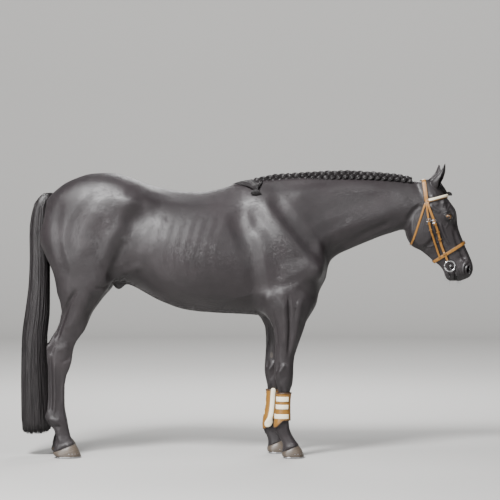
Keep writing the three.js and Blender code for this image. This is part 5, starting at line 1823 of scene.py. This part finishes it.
def buildCoat():
    rng = np.random.default_rng(21)
    total = coatPlan["pieces"] * coatPlan["tufts"]
    roots, n = chooseRoots(total, rng)
    order = np.argsort(roots[:, 0])
    pieces = []
    for i, share in enumerate(np.array_split(order, coatPlan["pieces"])):
        pieces.append(tuftMesh(f"coat_{i + 1}", roots[share], n[share], rng))
    return pieces


def buildWhiskers():
    # feelers on lips, chin and round the eyes, and the lashes of the upper lids
    rng, paths, widths = np.random.default_rng(33), [], []
    stations = np.linspace(0, 1, 7)[:, None]
    corners, area, normal = skinFaces()
    centre, fall = corners.mean(1), np.array((0, 0, -1.0))
    uv = headCoords(centre)
    lips = (uv[:, 0] > 0.575) & (centre[:, 0] > 1.2) & (np.linalg.norm(centre[:, [1]], axis=1) < 0.075)
    chin = lips & (uv[:, 1] < -0.04)
    for zone, count, reach in ((lips, 46, 0.016), (chin, 44, 0.028)):
        for f in rng.choice(np.flatnonzero(zone), count, replace=False):
            out = unit(normal[f] + downFace * 0.45 + rng.normal(0, 0.18, 3))
            bend = (downFace * 0.5 + fall * 0.5) * reach * 0.35
            straight = out * stations * reach * rng.uniform(0.7, 1.2)
            paths.append(centre[f] - normal[f] * 0.001 + straight + bend * stations**2)
            widths.append(0.0008)
    for sideName in sides:
        eye, radius, forward, upward, out = eyeFrames[sideName]
        upper = curveThrough(np.array(lidPlan["outline"][:9]) * lidPlan["unit"], 46)
        for a, b in upper[3:42]:
            edge = eye + forward * a + upward * b
            edge = edge + out * math.sqrt(max((radius + 0.0032) ** 2 - a * a - b * b, 1e-6))
            aim = unit(out * 0.75 + upward * 0.35 + forward * (a * 14) + rng.normal(0, 0.07, 3))
            curl = upward * 0.005 + fall * 0.004
            paths.append(edge + aim * stations * rng.uniform(0.011, 0.017) + curl * stations**2)
            widths.append(0.0009)
        for k in range(9):
            a, b = rng.uniform(-0.02, 0.03), rng.uniform(-0.045, -0.028)
            spot, bare = surfaceAt(eye + out * radius + forward * a + upward * b)
            aim = unit(bare + rng.normal(0, 0.2, 3))
            paths.append(spot + aim * stations * 0.030 + fall * 0.006 * stations**2)
            widths.append(0.0007)
    return lockMesh("whiskers", np.array(paths), widths, 1.0, (0.02, 0.85))


coatPieces = buildCoat()
whiskers = buildWhiskers()
print("coat made:", sum(len(o.data.polygons) for o in coatPieces), "faces")


# who wears what
def dress(o, material, slot, *replaced):
    o.data.materials.clear()
    o.data.materials.append(material)
    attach(o, "root")
    if replaced:
        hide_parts(*replaced)


coatFine = paintCoat("coat", True)
coatTuft = paintCoat("coatTufts", False)
hairPaint, hoofPaint = paintHair(), paintHoof()
eyePaint = paintEye(eyeCentre, eyeForward, eyeUpward)
leatherPaint = paintLeather("bridleLeather", (0.195, 0.084, 0.010), (0.020, 0.009, 0.004))
bootPaint = paintLeather("bootLeather", (0.205, 0.092, 0.009), (0.205, 0.092, 0.009), 0.5)
rollPaint = grained("bootBinding", (0.060, 0.028, 0.010), 0.42)
creamPaint = grained("creamPads", (0.80, 0.73, 0.55), 0.46, depth=0.0006, vary=0.12)
cordPaint = grained("browCord", (0.82, 0.74, 0.56), 0.42, scale=(900, 500, 900), depth=0.0007)
steelPaint = grained("steel", (0.62, 0.62, 0.63), 0.16, 1.0, (150, 900, 150), 0.0001, 0.25)
shoePaint = grained("shoeSteel", (0.40, 0.40, 0.41), 0.30, 1.0, (160, 900, 160), 0.0002, 0.35)
tiePaint = grained("hairTie", (0.010, 0.009, 0.009), 0.5, scale=(200, 200, 1800), depth=0.0005)

dress(skin, coatFine, "coat", *fleshNodes, *earNodes)
for piece in coatPieces:
    dress(piece, coatTuft, "coat", *fleshNodes, *earNodes)
dress(whiskers, tiePaint, "hair", "head")
dress(tail, hairPaint, "hair", "tail")
dress(tailDock, hairPaint, "hair", "tail")
dress(braid, hairPaint, "hair", "mane_braid")
dress(withersLock, hairPaint, "hair", "mane_lock")
dress(forelock, hairPaint, "hair", "forelock")
dress(ties, tiePaint, "hair", "mane_lock", "forelock")
for sideName in sides:
    dress(eyes[sideName], eyePaint, "eye", "eye_" + sideName)
    dress(bits[sideName], steelPaint, "steel", "bit_ring_" + sideName)
    shell, binding, strips, pad = boots[sideName]
    dress(shell, bootPaint, "leather", "boot_" + sideName)
    dress(binding, rollPaint, "leather", "boot_" + sideName)
    dress(pad, creamPaint, "cream", "boot_pad_" + sideName)
    for i, strip in enumerate(strips):
        dress(strip, creamPaint, "cream", f"boot_strap_{sideName}_{i + 1}")
for name, strap in straps.items():
    dress(strap, leatherPaint, "leather", name)
dress(browCord, cordPaint, "cream", "browband")
for name in hoofNodes:
    dress(hooves[name], hoofPaint, "horn", name)
for name in shoeNodes:
    dress(shoes[name], shoePaint, "steel", name)
print("dressed")


# floor, light, camera
stagePlan = {
    "floor": 15.0, "curve": 4.0, "wall": 9.0,
    "lens": 129.8, "distance": 11.0, "height": 1.252, "across": 0.0164,
}


def buildFloor():
    # a grey floor that curves up into a wall all round, so that no horizon shows
    plan = stagePlan
    turn = np.linspace(0, math.pi / 2, 17)
    out = plan["floor"] + plan["curve"] * np.sin(turn)
    up = plan["curve"] * (1 - np.cos(turn))
    profile = [(0.01, 0), *zip(out, up), (out[-1], plan["wall"])]
    around = roundAngles(96)
    verts = [(r * math.cos(a), r * math.sin(a), h) for r, h in profile for a in around]
    # the last face would be a ceiling
    o = meshObject("floor", verts, loftFaces(len(profile), len(around))[:-1])
    editAll(o, (bpy.ops.mesh.normals_make_consistent, {"inside": True}))
    bpy.ops.object.shade_smooth()
    return o


def softLight(name, place, aim, size, power):
    bpy.ops.object.light_add(type="AREA", location=place)
    o = bpy.context.object
    o.name = name
    o.data.size = size
    o.data.energy = power
    o.rotation_euler = (Vector(aim) - Vector(place)).to_track_quat("-Z", "Y").to_euler()
    return o


floor = buildFloor()
floorPaint = newMaterial("floorPaint", Base_Color=color(0.40, 0.394, 0.383), Roughness=0.8)[0]
floor.data.materials.append(floorPaint)
softLight("keyLight", (-2.2, -4.0, 5.4), (-0.3, 0, 1.2), 1.5, 1250)
softLight("sideLight", (-4.4, -5.4, 1.8), (-0.2, 0, 0.9), 1.7, 240)
softLight("fillLight", (3.8, -4.6, 3.2), (0.5, 0, 1.1), 3.0, 100)
softLight("rimLight", (0.5, 4.5, 5.0), (0, 0, 1.2), 3.0, 260)
softLight("wallLight", (0, 2.0, 10.0), (0, 19, 7.0), 8.0, 3900)

world = bpy.data.worlds.new("studio")
bpy.context.scene.world = world
world.use_nodes = True
world.node_tree.nodes["Background"].inputs["Color"].default_value = (0.80, 0.81, 0.83, 1)
world.node_tree.nodes["Background"].inputs["Strength"].default_value = 0.22

bpy.ops.object.camera_add(
    location=(stagePlan["across"], -stagePlan["distance"], stagePlan["height"]),
    rotation=(math.pi / 2, 0, 0),
)
camera = bpy.context.object
camera.data.lens = stagePlan["lens"]
camera.data.sensor_width = 36
camera.data.clip_end = 200
bpy.context.scene.camera = camera
print("stage set")
